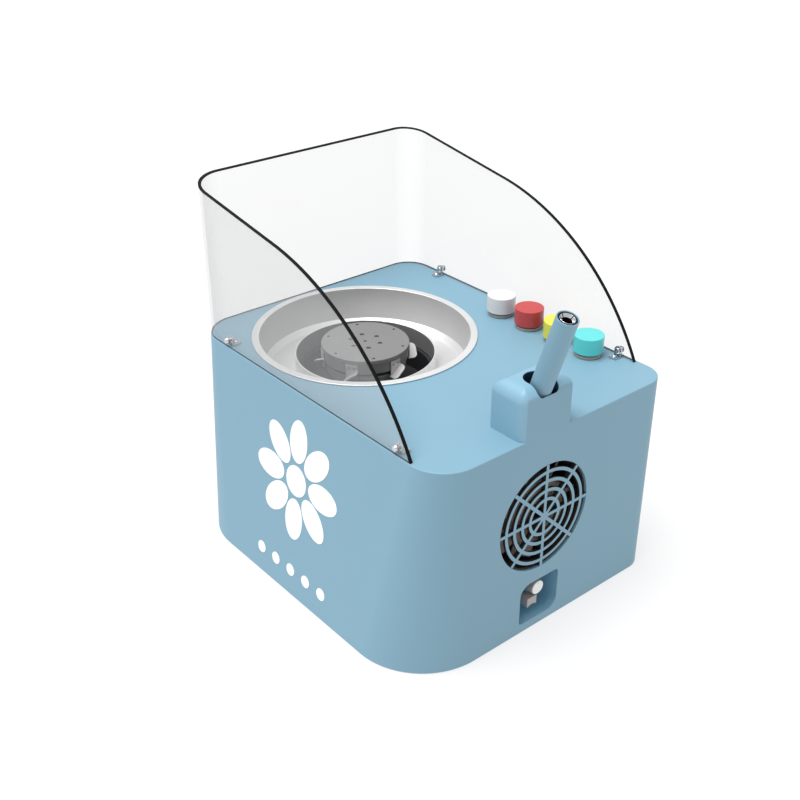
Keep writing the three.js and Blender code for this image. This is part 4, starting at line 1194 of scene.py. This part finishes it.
def makeFoot(name):
    low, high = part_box(name)
    height, radius, cut, hollow = high.z - low.z, footSize["radius"], footSize["chamfer"], footSize["hollow"]
    pad = turned([
        (0, height), (radius, height), (radius, cut), (radius - cut, 0),
        (footSize["tread"], 0), (footSize["tread"] - 0.001, hollow), (0, hollow),
    ], 0.0002, 64)
    place = shift((low.x + high.x) / 2, (low.y + high.y) / 2, low.z)
    made(name + "_pad", pad, place, "root", "foot_rubber", footRubber, [name])


for name in ("foot_left_front", "foot_left_rear", "foot_right_front", "foot_right_rear"):
    makeFoot(name)

# ---- pieces that keep their CAD shape ----
cadFinishes = {
    "base_plate": darkMetal, "drive_motor": zincSteel, "motor_bracket": zincSteel,
    "brush_holder": blackPlastic, "drive_shaft": brightSteel, "slip_rings": turnedBrass,
    "potentiometer": zincSteel, "wand_battery": greyPlastic, "wand_motor": zincSteel,
    "control_board": boardGreen, "power_supply": caseAluminium,
}
for name, material in cadFinishes.items():
    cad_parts[name].material_slots[0].material = material
print("inside pieces finished")

# ---- stage, light and camera ----
stage = {"size": 6, "tone": (0.25, 0.25, 0.25, 1), "glow": 0.65}
light = {"world": 0.8, "sun": 3.2, "sunSpread": math.radians(40), "sunFrom": Vector((-0.30, 0.12, 1.0))}
view = {
    "place": (-0.6647, -0.7696, 0.7528), "yaw": 40.016, "pitch": 30.184, "roll": 0.083,
    "lens": 50.997, "shift": (-0.0081, 0.0164),
}


def makeStage():
    bm = bmesh.new()
    bmesh.ops.create_grid(bm, x_segments=1, y_segments=1, size=stage["size"])
    floor = asObject("floor", bm)
    material, tree, sockets = startMaterial("pale floor")
    sockets["Base Color"].default_value = stage["tone"]
    sockets["Roughness"].default_value = 0.9
    sockets["Emission Color"].default_value = (1, 1, 1, 1)
    sockets["Emission Strength"].default_value = stage["glow"]
    floor.data.materials.append(material)


def makeLight():
    world = bpy.data.worlds.new("studio")
    bpy.context.scene.world = world
    world.use_nodes = True
    sockets = world.node_tree.nodes["Background"].inputs
    sockets["Color"].default_value = (1, 1, 1, 1)
    sockets["Strength"].default_value = light["world"]
    lamp = bpy.data.lights.new("key", "SUN")
    lamp.energy = light["sun"]
    lamp.angle = light["sunSpread"]
    key = bpy.data.objects.new("key", lamp)
    key.rotation_euler = light["sunFrom"].to_track_quat("Z", "Y").to_euler()
    bpy.context.scene.collection.objects.link(key)


def makeCamera():
    lens = bpy.data.cameras.new("camera")
    lens.lens = view["lens"]
    lens.shift_x, lens.shift_y = view["shift"]
    lens.clip_start = 0.01
    camera = bpy.data.objects.new("camera", lens)
    camera.matrix_world = (
        shift(*view["place"])
        @ rotate(-view["yaw"])
        @ rotate(90 - view["pitch"], "X")
        @ rotate(view["roll"])
    )
    bpy.context.scene.collection.objects.link(camera)
    bpy.context.scene.camera = camera


makeStage()
makeLight()
makeCamera()
print("stage, light and camera ready")
